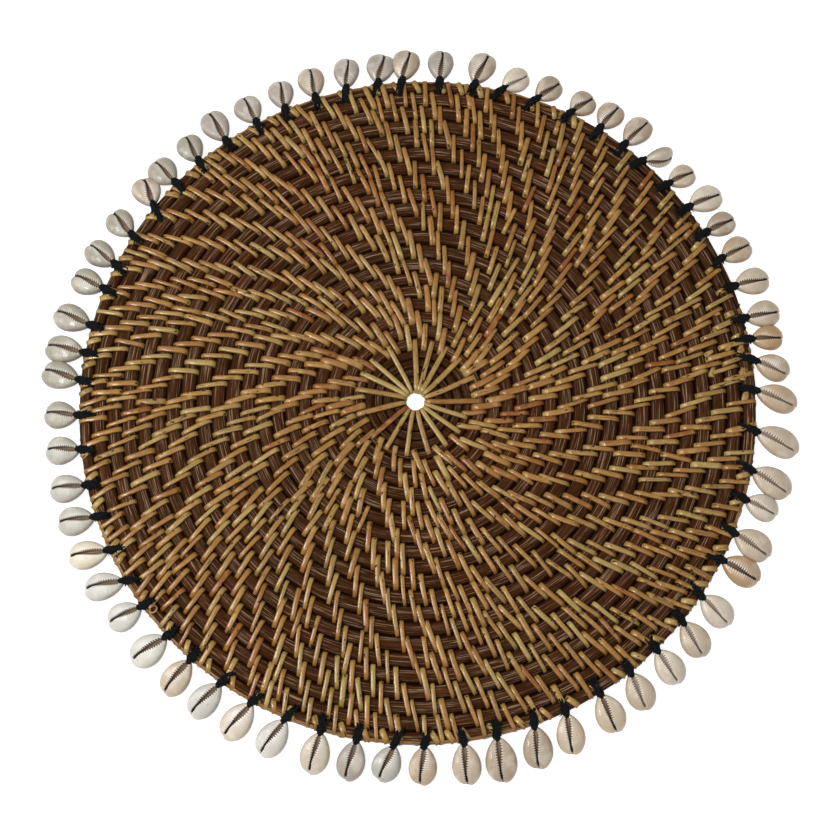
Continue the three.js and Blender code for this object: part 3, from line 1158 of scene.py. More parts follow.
@dataclass
class Bindings(StrandWork):
    """The strips of pale skin that bind each turn to the one before it."""

    coil: RodCoil
    top_seed: int = 11
    under_seed: int = 12
    first_turn: float = 5.0
    last_turn: float = 22.985
    # Directions of the first course, in degrees anticlockwise: each strip lies between two straps.
    first_course: Row = (
        8.0, 16.0, 30.0, 37.5, 51.0, 67.0, 83.0, 97.0, 112.0, 124.5, 143.0, 159.0,
        177.0, 187.0, 203.0, 217.0, 232.0, 249.0, 271.0, 295.0, 315.0, 333.0, 348.0,
    )  # fmt: skip
    # Rows are radius and how far apart the bindings of one course lie there.
    spacings: Rows = (
        (32, 8.7), (38, 9.3), (46, 10.5), (60, 10.6), (90, 12.1), (118, 12.1), (132, 11.7), (170, 11.8),
    )  # fmt: skip
    # How far on a strip lies from the one inside it, how much it evens out, and its unevenness.
    step_on: float = 4.85
    evening: float = 0.3
    jitter: float = 0.3
    # A new strip starts in a gap this many times too wide, sooner once about one is owed.
    owed_share: float = 0.9
    split_share: float = 1.25
    widest_share: float = 1.4
    # How far a strip leans over the two rods, its mean and spread, and how far it bows.
    lean: Pair = (1.5, 0.6)
    bow: float = 0.12
    section: StrandSection = StrandSection(2.8, 0.95, STRIP_SIDES, 0.46, FLAT_UP)
    # How far a strip's middle line stands off the rods, on top, at the sides and in the groove.
    stand: float = 0.46
    pressed: float = -0.1
    dip: float = 0.12
    wrap: float = 0.66
    # Degrees round the inner rod, round the outer one, and round the rim's, where strips go further down.
    inner_angles: Row = (170.0, 143.0, 118.0, 99.0)
    outer_angles: Row = (81.0, 62.0, 37.0, 10.0)
    wrap_angles: Row = (80.0, 58.0, 34.0, 4.0)
    # A strip's girth: its mean and spread, its limits, and how much wider the first turns' strips are.
    girth: Pair = (0.95, 0.1)
    girth_limits: Pair = (0.74, 1.2)
    first_girth: float = 1.14
    first_girth_turns: Pair = (7.0, 13.0)
    narrowing: Pair = (0.06, 0.34)
    # A strip's tone: its mean, how much it changes from place to place, and its spread.
    tone: Triple = (0.42, 0.3, 0.22)
    patch_scale: float = 14.0
    table_gap: float = 0.02

    def places(self, seed: int) -> list[float]:
        """Lays the courses out along the spiral.

        Each binding sits a step on from the one inside it, and a new one starts where two have
        spread too far apart.

        Args:
            seed: The seed for the small unevenness.

        Returns:
            The degrees swept from the start to each binding, in order.
        """
        chance = random.Random(seed)
        laid = [self.first_turn * FULL_TURN - angle for angle in reversed(self.first_course)]
        heir = 0
        owed = 0.0
        while True:
            radius = self.spiral.edge((laid[heir] + FULL_TURN) / FULL_TURN)
            degree = FULL_TURN / (2 * math.pi * radius)
            own, following = (laid[number] + FULL_TURN - self.step_on * degree for number in (heir, heir + 1))
            place = mix(own, (laid[-1] + following) / 2, self.evening)
            place += chance.gauss(0.0, self.jitter) * degree
            gap = (place - laid[-1]) / degree
            usual = along_table(self.spacings, radius)
            owed += gap / usual - 1.0
            due = owed > self.owed_share and gap > self.split_share * usual
            if due or gap > self.widest_share * usual:
                laid.append((place + laid[-1]) / 2)
                owed -= 1.0
            if place > self.last_turn * FULL_TURN:
                return laid
            laid.append(place)
            heir += 1

    def arch(self, swept: float, side: Side, chance: random.Random) -> Strand:
        """Bends one strip over the two rods that it binds.

        Args:
            swept: Degrees swept to the middle of the strip.
            side: The face that it lies on.
            chance: The source of its unevenness.

        Returns:
            The strand of the strip.
        """
        turn = swept / FULL_TURN
        radius = self.spiral.edge(turn)
        inner = self.coil.rod(turn - 1)
        outer = self.coil.rod(turn)
        pitch = (outer.radius - inner.radius) or 1.0
        lean = chance.gauss(*self.lean) * side.value
        bow = chance.uniform(-self.bow, self.bow)
        middle = (inner.radius + outer.radius) / 2
        crown = min(inner.height + inner.half_height, outer.height + outer.half_height)
        at_rim = turn > self.spiral.rim_turn - 0.01
        spots = [self.on_rod(inner, angle) for angle in self.inner_angles]
        spots.append((middle, crown + self.stand - self.dip))
        spots += [self.on_rod(outer, angle) for angle in (self.wrap_angles if at_rim else self.outer_angles)]
        girth = clamp(chance.gauss(*self.girth), *self.girth_limits)
        girth *= mix(self.first_girth, 1.0, smooth(turn, *self.first_girth_turns))
        shape = chance.uniform(*self.narrowing)
        last = len(spots) - 1
        girths = [girth * (1 + shape * (0.5 - number / last)) for number in range(last + 1)]
        points = []
        for own_girth, (out, height) in zip(girths, spots):
            across = (out - middle) / pitch
            shift = lean * across + bow * (1 - abs(across))
            up = height if side is Side.TOP else 2 * self.coil.centre - height
            lowest = self.section.height / 2 * own_girth + self.table_gap
            points.append(self.spiral.place(out, swept - math.degrees(shift / radius), max(up, lowest)))
        mean, change, spread = self.tone
        spot = points[len(self.inner_angles)] * self.patch_scale
        patch = noise.noise(Vector((spot.x, spot.y, 5.0)))
        return Strand(points, girths, clamp(mean + change * patch + chance.gauss(0.0, spread)))

    def on_rod(self, rod: RodPlace, angle: float) -> Pair:
        """Returns the radius and height of a strip where it lies on a rod, at an angle round it."""
        return rod.on_top(angle, self.pressed, self.stand, self.wrap)

    def build(self) -> None:
        """Builds the strips on both faces, a piece for each."""
        faces = (
            (Side.TOP, "bindings_top", self.top_seed),
            (Side.UNDER, "bindings_under", self.under_seed),
        )
        for side, name, seed in faces:
            chance = random.Random(seed * 7)
            strands = [self.arch(swept, side, chance) for swept in self.places(seed)]
            self.make(name, strands, self.section, "pale_rattan")
            LOG.info("%s: %d strips", name, len(strands))


@dataclass
class StartRosette(StrandWork):
    """The long straps that bind the first turns, all turned down into the start hole."""

    angles: Row = (
        1.0, 23.5, 45.0, 62.5, 76.5, 91.5, 117.5, 137.5, 153.0,
        169.5, 195.5, 222.5, 241.5, 262.5, 285.0, 304.5, 323.5, 341.5,
    )  # fmt: skip
    straps_end: float = 5.0
    tip_short: float = 1.6
    # How far the straps lie to the side of the hole's centre, and between which angles they hardly do.
    side_step: float = 0.8
    centred_arc: Pair = (300.0, 345.0)
    centred: float = 0.35
    sway: float = 0.4
    pull: Pair = (-0.35, 0.15)
    widths: Pair = (0.93, 1.08)
    section: StrandSection = StrandSection(2.9, 0.8, STRIP_SIDES, 0.62, FLAT_UP)
    middle: float = 3.6
    lowest: float = 0.45
    hole: float = 4.7
    # Rows are the directions between which straps are red-brown, brownish or pale, and their tone. The pale
    # rows are painted highlight: the palest tone for straps that catch gloss.
    tones: Rows = ((215.0, 230.0, 0.97), (-1.0, 5.0, 0.66), (110.0, 160.0, 0.0), (300.0, 345.0, 0.0))
    # The mean and spread of the other straps' olive tone.
    usual_tone: Pair = (0.2, 0.06)
    # Rows are distance from the hole's centre, height above the middle of the mat, and width.
    run: Rows = (
        (4.85, 0.5, 0.7), (5.05, 1.6, 0.7), (5.6, 2.35, 0.74), (6.5, 2.75, 0.82), (8.0, 2.8, 0.92),
        (10.5, 2.6, 0.96), (14.0, 2.55, 1.0), (19.0, 2.55, 1.0),
    )  # fmt: skip
    # The same from the tip on, and how much of the run before it they take the place of.
    tip_run: Rows = ((-2.2, 2.6, 1.0), (-0.6, 2.2, 0.98), (0.35, 1.1, 0.92), (0.6, -0.5, 0.9))
    tip_room: float = 3.5
    # The share of the step aside at the hole, and how soon a strap takes all of it.
    near_aside: float = 0.45
    aside_rate: float = 4.0
    seed: int = 5

    def strap(self, angle: float, side: Side, chance: random.Random) -> Strand:
        """Lays one strap from the hole out over the first turns.

        Args:
            angle: Its direction, in degrees anticlockwise.
            side: The face that it lies on.
            chance: The source of its unevenness.

        Returns:
            The strand of the strap.
        """
        tip = self.spiral.edge(self.straps_end - angle / FULL_TURN) - self.tip_short
        first, last = self.centred_arc
        step_aside = -self.side_step * (self.centred if first < angle < last else 1.0)
        sway = chance.uniform(-self.sway, self.sway)
        rows = [row for row in self.run if row[0] < tip - self.tip_room]
        rows += [(tip + out, up, girth) for out, up, girth in self.tip_run]
        wide = chance.uniform(*self.widths)
        pulled = chance.uniform(*self.pull)
        points = []
        for number, (out, up, _) in enumerate(rows):
            out += pulled * clamp(1 - number / 4)
            share = clamp((out - self.hole) / (tip - self.hole))
            stepped = mix(self.near_aside, 1.0, min(1.0, share * self.aside_rate))
            aside = step_aside * stepped + sway * share * share
            height = max(self.middle + up * side.value, self.lowest)
            points.append(self.spiral.beside(math.radians(angle), out, aside, height))
        return Strand(points, [row[2] * wide for row in rows], self.tone(angle, chance))

    def tone(self, angle: float, chance: random.Random) -> float:
        """Returns a strap's tone, from the rows of tones or else drawn about the usual one."""
        for first, last, tone in self.tones:
            if first < angle < last:
                return tone
        return clamp(chance.gauss(*self.usual_tone))

    def build(self) -> None:
        """Builds the straps on both faces as one piece."""
        chance = random.Random(self.seed)
        strands = [self.strap(angle, side, chance) for side in Side for angle in self.angles]
        self.make("start_straps", strands, self.section, "pale_rattan", ("start_rosette",))


@dataclass
class RimTrim(StrandWork):
    """Pale strips along the rim and the short ends between the ties."""

    coil: RodCoil
    section: StrandSection = StrandSection(2.7, 0.8, STRIP_SIDES, 0.62, FLAT_UP)
    steps_a_degree: float = 1.2
    # Rows are where a strip along the outer edge starts and ends, in degrees anticlockwise.
    edge_arcs: Rows = ((60.0, 131.0), (199.0, 291.0), (338.0, 361.0))
    edge_inset: float = 0.75
    edge_height: float = 5.7
    edge_girth: float = 0.85
    edge_roll: float = math.radians(48.0)
    edge_tone: float = 0.4
    # The strip in the groove inside the rim's rod.
    groove_arc: Pair = (80.0, 114.0)
    groove_radius: float = 162.6
    groove_height: float = 6.1
    groove_girth: float = 0.62
    groove_tone: float = 0.3
    # How far a strip wavers to the side, and up and down, and over how many degrees.
    waver: Pair = (0.25, 0.3)
    edge_span: float = 3.5
    groove_span: float = 2.5
    # The short ends: degrees round the rod, how they stand off it, their lean, lowest place and girth.
    stub_angles: Row = (160.0, 130.0, 104.0, 78.0, 52.0, 26.0)
    stub_stand: Triple = (0.15, 0.38, 0.8)
    stub_lean: float = 0.58
    stub_lowest: float = 0.5
    stub_girths: Pair = (1.05, 1.32)
    stub_tone: Pair = (0.25, 0.15)
    stub_share: float = 0.85
    stub_last: float = 0.86
    # How far back from a binding its short end lies, as millimetres and the radius they are taken at.
    stub_back: Pair = (4.6, 168.0)
    # Rows are a flake's direction, distance from the hole, length, width, heading and tone.
    flakes: Rows = (
        (0.7, 167.0, 5.5, 1.4, 72, 0.15), (4.7, 166.6, 6.5, 1.5, 80, 0.05), (5.5, 151.3, 5.0, 1.2, 70, 0.05),
        (8.9, 167.6, 6.0, 1.4, 74, 0.1), (9.3, 151.0, 5.0, 1.0, 20, 0.2), (9.9, 161.6, 4.5, 1.1, 55, 0.3),
        (13.2, 156.0, 4.2, 1.0, 40, 0.4), (16.5, 160.0, 4.0, 0.9, -20, 0.3), (19.0, 152.0, 4.0, 0.8, 10, 0.3),
    )  # fmt: skip
    flake_widths: Row = (0.8, 1.0, 1.05, 0.9, 0.5)
    # A flake's height and the lift of its far end. Past the radius it bends down over the rim.
    flake_height: float = 7.3
    flake_lift: float = 0.5
    flake_bend: Triple = (165.0, 3.3, 1.3)
    # The stray loop: its direction, distance from the hole, half sizes, height and rise a step.
    curl_at: float = 219.5
    curl_out: float = 167.5
    curl_half: Pair = (1.9, 1.5)
    curl_height: float = 7.5
    curl_rise: float = 0.07
    # The loop's first angle and its step, in degrees, and its points.
    curl_start: float = -60.0
    curl_step: float = 24.0
    curl_points: int = 15
    curl_girth: float = 0.36
    curl_tone: float = 0.75
    seed: int = 23

    def arc(self, first: float, last: float) -> list[float]:
        """Returns directions a little under a degree apart, from the first to the last."""
        steps = int((last - first) * self.steps_a_degree)
        return [mix(first, last, step / steps) for step in range(steps + 1)]

    def edge_strip(self, first: float, last: float) -> Strand:
        """Lays a strip along the outer edge of the rim.

        Args:
            first: Where it starts, in degrees anticlockwise.
            last: Where it ends.

        Returns:
            The strand of the strip.
        """
        aside, up = self.waver
        points = []
        for angle in self.arc(first, last):
            swept = self.spiral.swept_toward(angle % FULL_TURN)
            wave = noise.noise(Vector((angle / self.edge_span, 1.0, 2.0)))
            radius = self.spiral.rim_radius(swept) - self.edge_inset + aside * wave
            points.append(self.spiral.place(radius, swept, self.edge_height + up * wave))
        return Strand(points, self.edge_girth, self.edge_tone, self.edge_roll)

    def groove_strip(self) -> Strand:
        """Lays the strip in the groove inside the rim's rod, and returns its strand."""
        aside, up = self.waver
        points = []
        for angle in self.arc(*self.groove_arc):
            wave = noise.noise(Vector((angle / self.groove_span, 4.0, 2.0)))
            swept = (FULL_TURN - angle) % FULL_TURN
            radius = self.groove_radius + aside * wave
            points.append(self.spiral.place(radius, swept, self.groove_height + up * wave))
        return Strand(points, self.groove_girth, self.groove_tone)

    def stub(self, swept: float, chance: random.Random) -> Strand:
        """Wraps one short end over the rim's rod alone.

        Args:
            swept: Degrees swept round the rim to its middle.
            chance: The source of its unevenness.

        Returns:
            The strand of the short end.
        """
        rod = self.coil.rod(self.spiral.rim_turn + swept / FULL_TURN)
        points = []
        for angle in self.stub_angles:
            out, up = rod.on_top(angle, *self.stub_stand)
            at = swept - math.degrees(self.stub_lean * (out - rod.radius) / rod.radius)
            points.append(self.spiral.place(out, at, max(up, self.stub_lowest)))
        return Strand(points, chance.uniform(*self.stub_girths), clamp(chance.gauss(*self.stub_tone)))

    def flake(self, row: Row) -> Strand:
        """Lays one broken flat end of skin where the rim is worn.

        Args:
            row: A row of the flakes.

        Returns:
            The strand of the flake.
        """
        direction, distance, length, wide, heading, tone = row
        angle = math.radians(direction)
        aim = angle + math.radians(heading)
        radius, run, fall = self.flake_bend
        over = max(0.0, distance - radius) / run
        points = []
        for step in range(len(self.flake_widths)):
            share = step / 4 - 0.5
            x = distance * math.cos(angle) + length * share * math.cos(aim)
            y = distance * math.sin(angle) + length * share * math.sin(aim)
            height = self.flake_height - fall * over * over + self.flake_lift * (share + 0.5) ** 2
            points.append(self.spiral.about_hole(x, y, height))
        return Strand(points, [wide * share for share in self.flake_widths], tone)

    def curl(self) -> Strand:
        """Bends the one stray end that stands in a small loop over the rim."""
        half_out, half_aside = self.curl_half
        points = []
        for step in range(self.curl_points):
            turned = math.radians(self.curl_start + step * self.curl_step)
            out = self.curl_out + half_out * math.cos(turned)
            aside = half_aside * math.sin(turned)
            height = self.curl_height + self.curl_rise * step
            points.append(self.spiral.beside(math.radians(self.curl_at), out, aside, height))
        return Strand(points, self.curl_girth, self.curl_tone)

    def stubs(self, bound: list[float], chance: random.Random) -> list[Strand]:
        """Wraps short ends behind most of the rim's bindings.

        Args:
            bound: Degrees swept to every binding of the spiral, in order.
            chance: The source of their unevenness.

        Returns:
            The strands of the short ends.
        """
        rim = self.spiral.rim_turn
        back = math.degrees(self.stub_back[0] / self.stub_back[1])
        made = []
        for swept in bound:
            at_rim = rim * FULL_TURN < swept <= (rim + self.stub_last) * FULL_TURN
            if at_rim and chance.random() < self.stub_share:
                made.append(self.stub(swept - rim * FULL_TURN - back, chance))
        return made

    def build(self, bound: list[float]) -> None:
        """Builds the trim, given the degrees swept to every binding of the spiral, in order."""
        strands = [self.edge_strip(first, last) for first, last in self.edge_arcs]
        strands.append(self.groove_strip())
        strands += [self.flake(row) for row in self.flakes]
        strands.append(self.curl())
        strands += self.stubs(bound, random.Random(self.seed))
        self.make("rim_trim", strands, self.section, "pale_rattan")


@dataclass(frozen=True)
class ShellRow:
    """One cowrie: where it sits, how it lies and what it looks like."""

    number: int
    angle: float
    lean: float
    length: float
    width: float
    roll: float = 0.0

    @property
    def tone(self) -> ShellTone:
        """Returns the shell's tone."""
        return next((tone for tone, numbers in TONED.items() if self.number in numbers), ShellTone.CREAM)

    @property
    def notched(self) -> bool:
        """Returns whether the slit runs out through a notch in the far end."""
        return self.number in NOTCHED


# One row a shell, anticlockwise: direction, lean, length, width, and roll where it has one. Degrees and
# millimetres.
SHELL_SIZES = (
    (1.7, 21, 22.0, 14.2), (7.0, 27, 18.4, 13.8, 6), (10.7, 4, 16.8, 13.4), (14.4, -1, 18.5, 14.3),
    (20.3, 4, 18.9, 14.5), (25.5, -7, 17.6, 14.2), (30.8, 0, 17.0, 13.0), (36.1, 9, 19.2, 14.4),
    (41.5, 12, 15.4, 12.6), (47.4, 24, 15.6, 11.0, 60), (51.6, 3, 19.2, 14.0), (56.7, 3, 16.6, 14.2),
    (62.5, 23, 15.0, 13.9, 8), (68.9, 27, 16.2, 13.5, 14), (75.0, 38, 16.4, 13.0, 18),
    (79.8, 12, 19.4, 14.4), (85.8, -2, 18.0, 13.8), (92.4, 14, 18.4, 14.8), (96.7, 17, 17.3, 15.2),
    (102.3, 14, 18.0, 13.7), (107.8, 4, 17.6, 14.3), (113.5, 10, 16.5, 13.7), (119.0, -2, 16.5, 14.8),
    (125.3, 2, 19.3, 14.6), (131.3, 11, 16.4, 14.0), (136.9, 0, 17.0, 15.4),
    (142.6, 27, 17.0, 15.4, 10), (149.0, 17, 17.1, 14.4), (155.0, 12, 18.5, 14.0),
    (159.7, 3, 18.1, 14.2), (166.6, 9, 20.6, 14.6), (171.6, 3, 20.7, 14.5), (176.5, 13, 20.5, 14.6),
    (182.6, 6, 17.4, 14.4), (188.6, 8, 17.5, 14.8), (194.9, 8, 18.5, 14.5), (200.6, 12, 19.0, 14.9),
    (206.8, 18, 20.2, 14.5), (212.7, 20, 20.6, 14.2, 8), (217.8, 10, 18.2, 14.3),
    (224.4, 9, 20.7, 15.5), (229.9, -3, 20.5, 14.0), (236.3, 10, 21.0, 14.3), (242.4, 12, 21.3, 14.8),
    (248.5, 14, 20.8, 14.6), (254.5, -2, 20.8, 14.6), (260.5, 5, 19.8, 14.0), (266.7, 20, 18.3, 14.3),
    (271.5, 6, 18.8, 14.0), (277.8, 0, 20.3, 14.4), (283.3, 4, 22.2, 15.6), (289.6, 12, 20.8, 14.8),
    (295.1, 14, 20.3, 14.2), (301.4, 5, 20.1, 14.9), (307.5, 12, 19.4, 14.6), (313.2, 7, 19.4, 14.5),
    (319.5, 16, 19.4, 14.8), (324.8, 8, 19.4, 14.8), (331.7, -2, 20.7, 15.2), (336.8, 8, 20.6, 15.6),
    (342.8, 6, 17.4, 13.8), (347.9, 18, 22.1, 15.2), (354.7, 20, 23.4, 15.0),
)  # fmt: skip
SHELLS = tuple(ShellRow(number, *sizes) for number, sizes in enumerate(SHELL_SIZES, start=1))

# Shells that touch the next one, counted from 1: each pair is one piece.
PAIRED = (3, 18, 26, 32, 59, 61)

# Shells of each tone, by number. The rest are cream.
TONED: dict[ShellTone, tuple[int, ...]] = {
    ShellTone.WHITE: (39, 40, 41, 43, 45),
    ShellTone.SHADED_WHITE: (35, 36, 37, 48),
    ShellTone.IVORY: (8, 10, 15, 38, 44, 46, 56, 58, 61),
    ShellTone.OLIVE: (25, 26, 28, 29, 30, 31, 32, 33, 34),
    ShellTone.GREY: (17, 19, 20, 22, 23, 24, 47),
    ShellTone.TAUPE: (7, 11, 12, 13, 14, 16, 18, 21, 27, 51, 52),
    ShellTone.HONEY: (1, 2, 6, 49),
    ShellTone.PEACH: (3, 59),
}

# Shells whose ridges run far out from the slit, on one side of it.
RIDGED = (2, 12, 16, 18, 21, 27, 44, 45, 48, 49, 59)

# Shells whose ridges look alike on both sides of the slit.
BOTH_SIDES = (38, 39, 44, 59)

# Shells whose slit runs out through a notch in the far end.
NOTCHED = (28, 29, 30, 32, 33, 37, 38, 39, 42, 43, 45, 49, 50, 51, 52, 53, 54)

# Shells whose slit is shallow and light brown.
SHALLOW = (1, 2, 15, 55, 56, 57, 58, 60, 61, 62, 63)

# How strongly a place shows the ridge and the dark notch of a tooth, in turn along the slit.
TEETH = ((0.0, 1.0), (0.75, 0.1), (0.85, 0.0))


@dataclass(frozen=True)
class ShellCut:
    """A shell cut across at one place of its length, in millimetres."""

    half: float
    top: float
    # How far aside the slit's middle lies, half its width, and 0 where it has shut or 1 where it is deep.
    bend: float
    opening: float
    shut: float
    # How strongly a tooth's ridge and the notch beside it show.
    tooth: float
    spike: float

    def sunk(self, share: float) -> float:
        """Returns the height of a point of the slit, almost the top where the slit has shut."""
        return self.top * mix(0.99, share, self.shut)


@dataclass
class Cowries:
    """The cowries round the rim, slit up, their backs cut flat."""

    spiral: Spiral
    finish: bpy.types.Material
    thickness: float = 6.2
    slope: float = 14.0
    reach: float = 0.3
    tip_gap: float = 0.3
    lean_gap: float = 0.9
    stations: int = 52
    # Rows are place along the length and share of the width, and then of the thickness.
    widths: Rows = (
        (0.0, 0.14), (0.04, 0.31), (0.1, 0.49), (0.18, 0.67), (0.28, 0.83), (0.4, 0.95), (0.5, 0.995),
        (0.58, 1.0), (0.68, 0.97), (0.78, 0.88), (0.87, 0.73), (0.93, 0.57), (0.97, 0.41), (1.0, 0.2),
    )  # fmt: skip
    rises: Rows = (
        (0.0, 0.42), (0.05, 0.54), (0.14, 0.7), (0.26, 0.86), (0.4, 0.97), (0.55, 1.0), (0.7, 0.97),
        (0.82, 0.87), (0.91, 0.73), (0.97, 0.54), (1.0, 0.36),
    )  # fmt: skip
    # Rows are place along the length and half the slit's opening, in millimetres.
    slits: Rows = (
        (0.0, 0.35), (0.06, 0.85), (0.14, 1.15), (0.27, 1.15), (0.4, 0.92), (0.52, 0.66), (0.63, 0.46),
        (0.73, 0.42), (0.81, 0.58), (0.86, 0.58), (0.92, 0.3), (1.0, 0.12),
    )  # fmt: skip
    # Rows are place along the length and how far the slit lies to the side, as a share of the width.
    sways: Rows = ((0.0, 0.0), (0.2, -0.012), (0.45, -0.05), (0.7, -0.074), (0.88, -0.06), (1.0, -0.028))
    # Rows are the cut back and the flank: shares of half the width and of the height, hollow and painted
    # flank shade.
    backs: Rows = ((0.4, 0.3, 1.0, 0.0), (0.6, 0.1, 0.4, 0.5), (0.7, 0.0, 0.0, 0.9), (0.92, 0.16, 0.0, 1.0))
    waist: float = 0.4
    # Degrees round the upper side, from the flank to the slit's rim.
    dome_angles: Row = (22.0, 42.0, 58.0, 72.0)
    # The teeth show along these shares of the length, and half as strongly past the middle.
    teeth_start: Pair = (0.03, 0.1)
    teeth_middle: Pair = (0.5, 0.65)
    teeth_end: Pair = (0.84, 0.9)
    tooth_rise: float = 0.08
    # How strongly ridges show on a plain shell, or a plain side, and on a ridged one.
    plain_ridges: float = 0.3
    far_ridges: float = 0.9
    # Shares of the length over which the slit shuts, on a notched shell and on others.
    notch_shut: Pair = (0.94, 0.99)
    plain_shut: Pair = (0.87, 0.92)
    shallow: float = 0.62
    # The slit's rim: its distance from the slit as a share of half the width, and in millimetres.
    rim_share: float = 0.04
    rim_step: float = 0.24
    # The notch in the far end and the two lobes beside it, in millimetres.
    notch: float = 0.9
    notch_half: float = 0.85
    uneven: float = 0.3
    end_step: Pair = (0.86, 1.0)

    def crown(self, row: ShellRow, beyond: float) -> float:
        """Returns the height of a shell's top, in millimetres, at a distance from its narrow end."""
        slope = math.radians(self.slope)
        top = self.thickness * along_table(self.rises, beyond / row.length)
        return (row.length - beyond) * math.sin(slope) + top * math.cos(slope)

    def tip_gap_for(self, row: ShellRow) -> float:
        """Returns the space between the rim and a shell's narrow end."""
        return self.reach + self.tip_gap + self.lean_gap * math.sin(math.radians(abs(row.lean)))

    def ridges(self, row: ShellRow, way: int) -> float:
        """Returns how strongly ridges show on one side of a shell's slit, where way is 1 or -1."""
        ridged = row.number in RIDGED and (way > 0 or row.number in BOTH_SIDES)
        return self.far_ridges if ridged else self.plain_ridges

    def cut(self, row: ShellRow, station: int) -> ShellCut:
        """Measures a shell across, at a station counted from its narrow end, and returns the cut."""
        along = station / self.stations
        half = row.width / 2 * along_table(self.widths, along)
        wide = 1.0 + 0.3 * noise.noise(Vector((row.number * 2.3, 1.5, 0.5)))
        shut = 1.0 - smooth(along, *(self.notch_shut if row.notched else self.plain_shut))
        toothed = smooth(along, *self.teeth_start) * mix(1.0, 0.5, smooth(along, *self.teeth_middle))
        toothed *= 1 - smooth(along, *self.teeth_end)
        return ShellCut(
            half,
            self.thickness * along_table(self.rises, along),
            row.width * along_table(self.sways, along),
            min(along_table(self.slits, along) * wide, half * 0.5),
            shut * (self.shallow if row.number in SHALLOW else 1.0),
            *(share * toothed for share in TEETH[station % len(TEETH)]),
        )

    def side(self, row: ShellRow, cut: ShellCut, way: int) -> list[Row]:
        """Draws one side of a cut, from the bottom round the flank and down into the slit.

        Args:
            row: The shell.
            cut: The cut.
            way: Which side of the slit it is, 1 or -1.

        Returns:
            Points as side, height, hollow, ridge and painted flank shade.
        """
        half, top, bend, shut = cut.half, cut.top, cut.bend, cut.shut
        tooth, spike = cut.tooth, cut.spike
        far = self.ridges(row, way)
        lip = bend + way * cut.opening * (1 + 0.2 * spike - 0.2 * tooth)
        lip = clamp(lip, -0.75 * half, 0.75 * half)
        crest = bend + way * (cut.opening + self.rim_share * half + self.rim_step)
        crest = clamp(crest, -0.8 * half, 0.8 * half)
        points = [(bend * 0.3, 0.34 * top, 1.0, 0.0, 0.0)]
        for out, up, hollow, flank_shade in self.backs:
            points.append((way * out * half, up * top, hollow, 0.0, flank_shade))
        waist = self.waist * top
        points.append((way * half, waist, 0.0, 0.0, 1.0))
        for angle in self.dome_angles:
            turned = math.radians(angle)
            out = mix(crest, way * half, math.cos(turned) ** 0.78)
            up = mix(waist, top, math.sin(turned) ** 0.66)
            reach = 0.7 * max(0.0, far - self.plain_ridges) * smooth(angle, 56.0, 78.0)
            # Painted shade: the flank darkens as it slopes away, and in the lines between ridges.
            flank_shade = max(0.3 * spike * reach, 1 - angle / 34)
            points.append((out, up + self.tooth_rise * tooth * reach, 0.0, tooth * reach, flank_shade))
        # The crest takes painted shade in the notches between teeth.
        points.append((crest + way * 0.06 * half, top - 0.01, 0.0, tooth * far, 0.3 * spike * far))
        bite = clamp(0.8 + 0.9 * noise.noise(Vector((row.number * 3.1, way * 4.2, 0.5))), 0.4, 1.0)
        notch = spike * (1.5 * bite)
        white = tooth * max(far, 0.5)
        points.append((crest, top + 0.05 * white, notch * shut, white, 0.0))
        points.append((mix(crest, lip, 0.6), cut.sunk(0.975), max(notch, 0.3) * shut, white, 0.0))
        points.append((lip, cut.sunk(0.9), mix(0.5, 1.4, spike) * shut, tooth * 0.6, 0.0))
        points.append((mix(lip, bend, 0.4), cut.sunk(0.74), shut, 0.0, 0.0))
        return points

    def mesh_data(self, row: ShellRow) -> tuple[list[Vector], list[list[float]], int]:
        """Shapes one shell about its narrow end.

        Args:
            row: The shell.

        Returns:
            Its points in millimetres, their marks, and how many points each section has.
        """
        slope = Matrix.Rotation(math.radians(self.slope), 3, "Y")
        turn = slope @ Matrix.Rotation(math.radians(row.roll), 3, "X")
        points: list[Vector] = []
        marks: list[list[float]] = []
        for station in range(self.stations + 1):
            along = station / self.stations
            cut = self.cut(row, station)
            left, right = (self.side(row, cut, way) for way in (1, -1))
            loop = left + [(cut.bend, cut.sunk(0.66), cut.shut, 0.0, 0.0)] + right[:0:-1]
            end = smooth(along, *self.end_step)
            deep = self.notch if row.notched else 0.0
            for side, height, hollow, ridge, flank_shade in loop:
                back = deep * end * math.exp(-(((side - cut.bend) / self.notch_half) ** 2))
                lobe = self.uneven * end * (1 if side > cut.bend else -1)
                points.append(turn @ Vector((along * row.length - back + lobe, side, height)))
                marks.append([hollow, ridge, flank_shade, along])
        low = min(point.z for point in points)
        for point in points:
            point.z -= low
        return points, marks, len(loop)

    def placed(self, row: ShellRow, points: list[Vector]) -> list[Vector]:
        """Puts a shell's points where its tie holds it, in the frame."""
        swept = self.spiral.swept_toward(row.angle)
        foot = self.spiral.place(self.spiral.rim_radius(swept) + self.tip_gap_for(row), swept, 0.0)
        heading = Matrix.Rotation(math.radians(row.angle - row.lean), 3, "Z")
        return [heading @ point * MM + foot for point in points]

    def faces(self, first: int, count: int) -> list[tuple[int, ...]]:
        """Joins a shell's sections into a closed skin.

        Args:
            first: The number of its first point.
            count: How many points each section has.

        Returns:
            Its faces, as the numbers of their points.
        """
        made: list[tuple[int, ...]] = []
        for low in range(first, first + self.stations * count, count):
            for number in range(count):
                after = (number + 1) % count
                made.append((low + number, low + after, low + count + after, low + count + number))
        made.append(tuple(first + number for number in reversed(range(count))))
        made.append(tuple(first + self.stations * count + number for number in range(count)))
        return made

    def tint(self, row: ShellRow) -> Color:
        """Returns a shell's own colour, its tone made a little lighter or darker."""
        shade = 1.0 + 0.05 * noise.noise(Vector((row.number * 1.7, 0.5, 0.5)))
        return rgb(*(step * shade for step in row.tone.value))

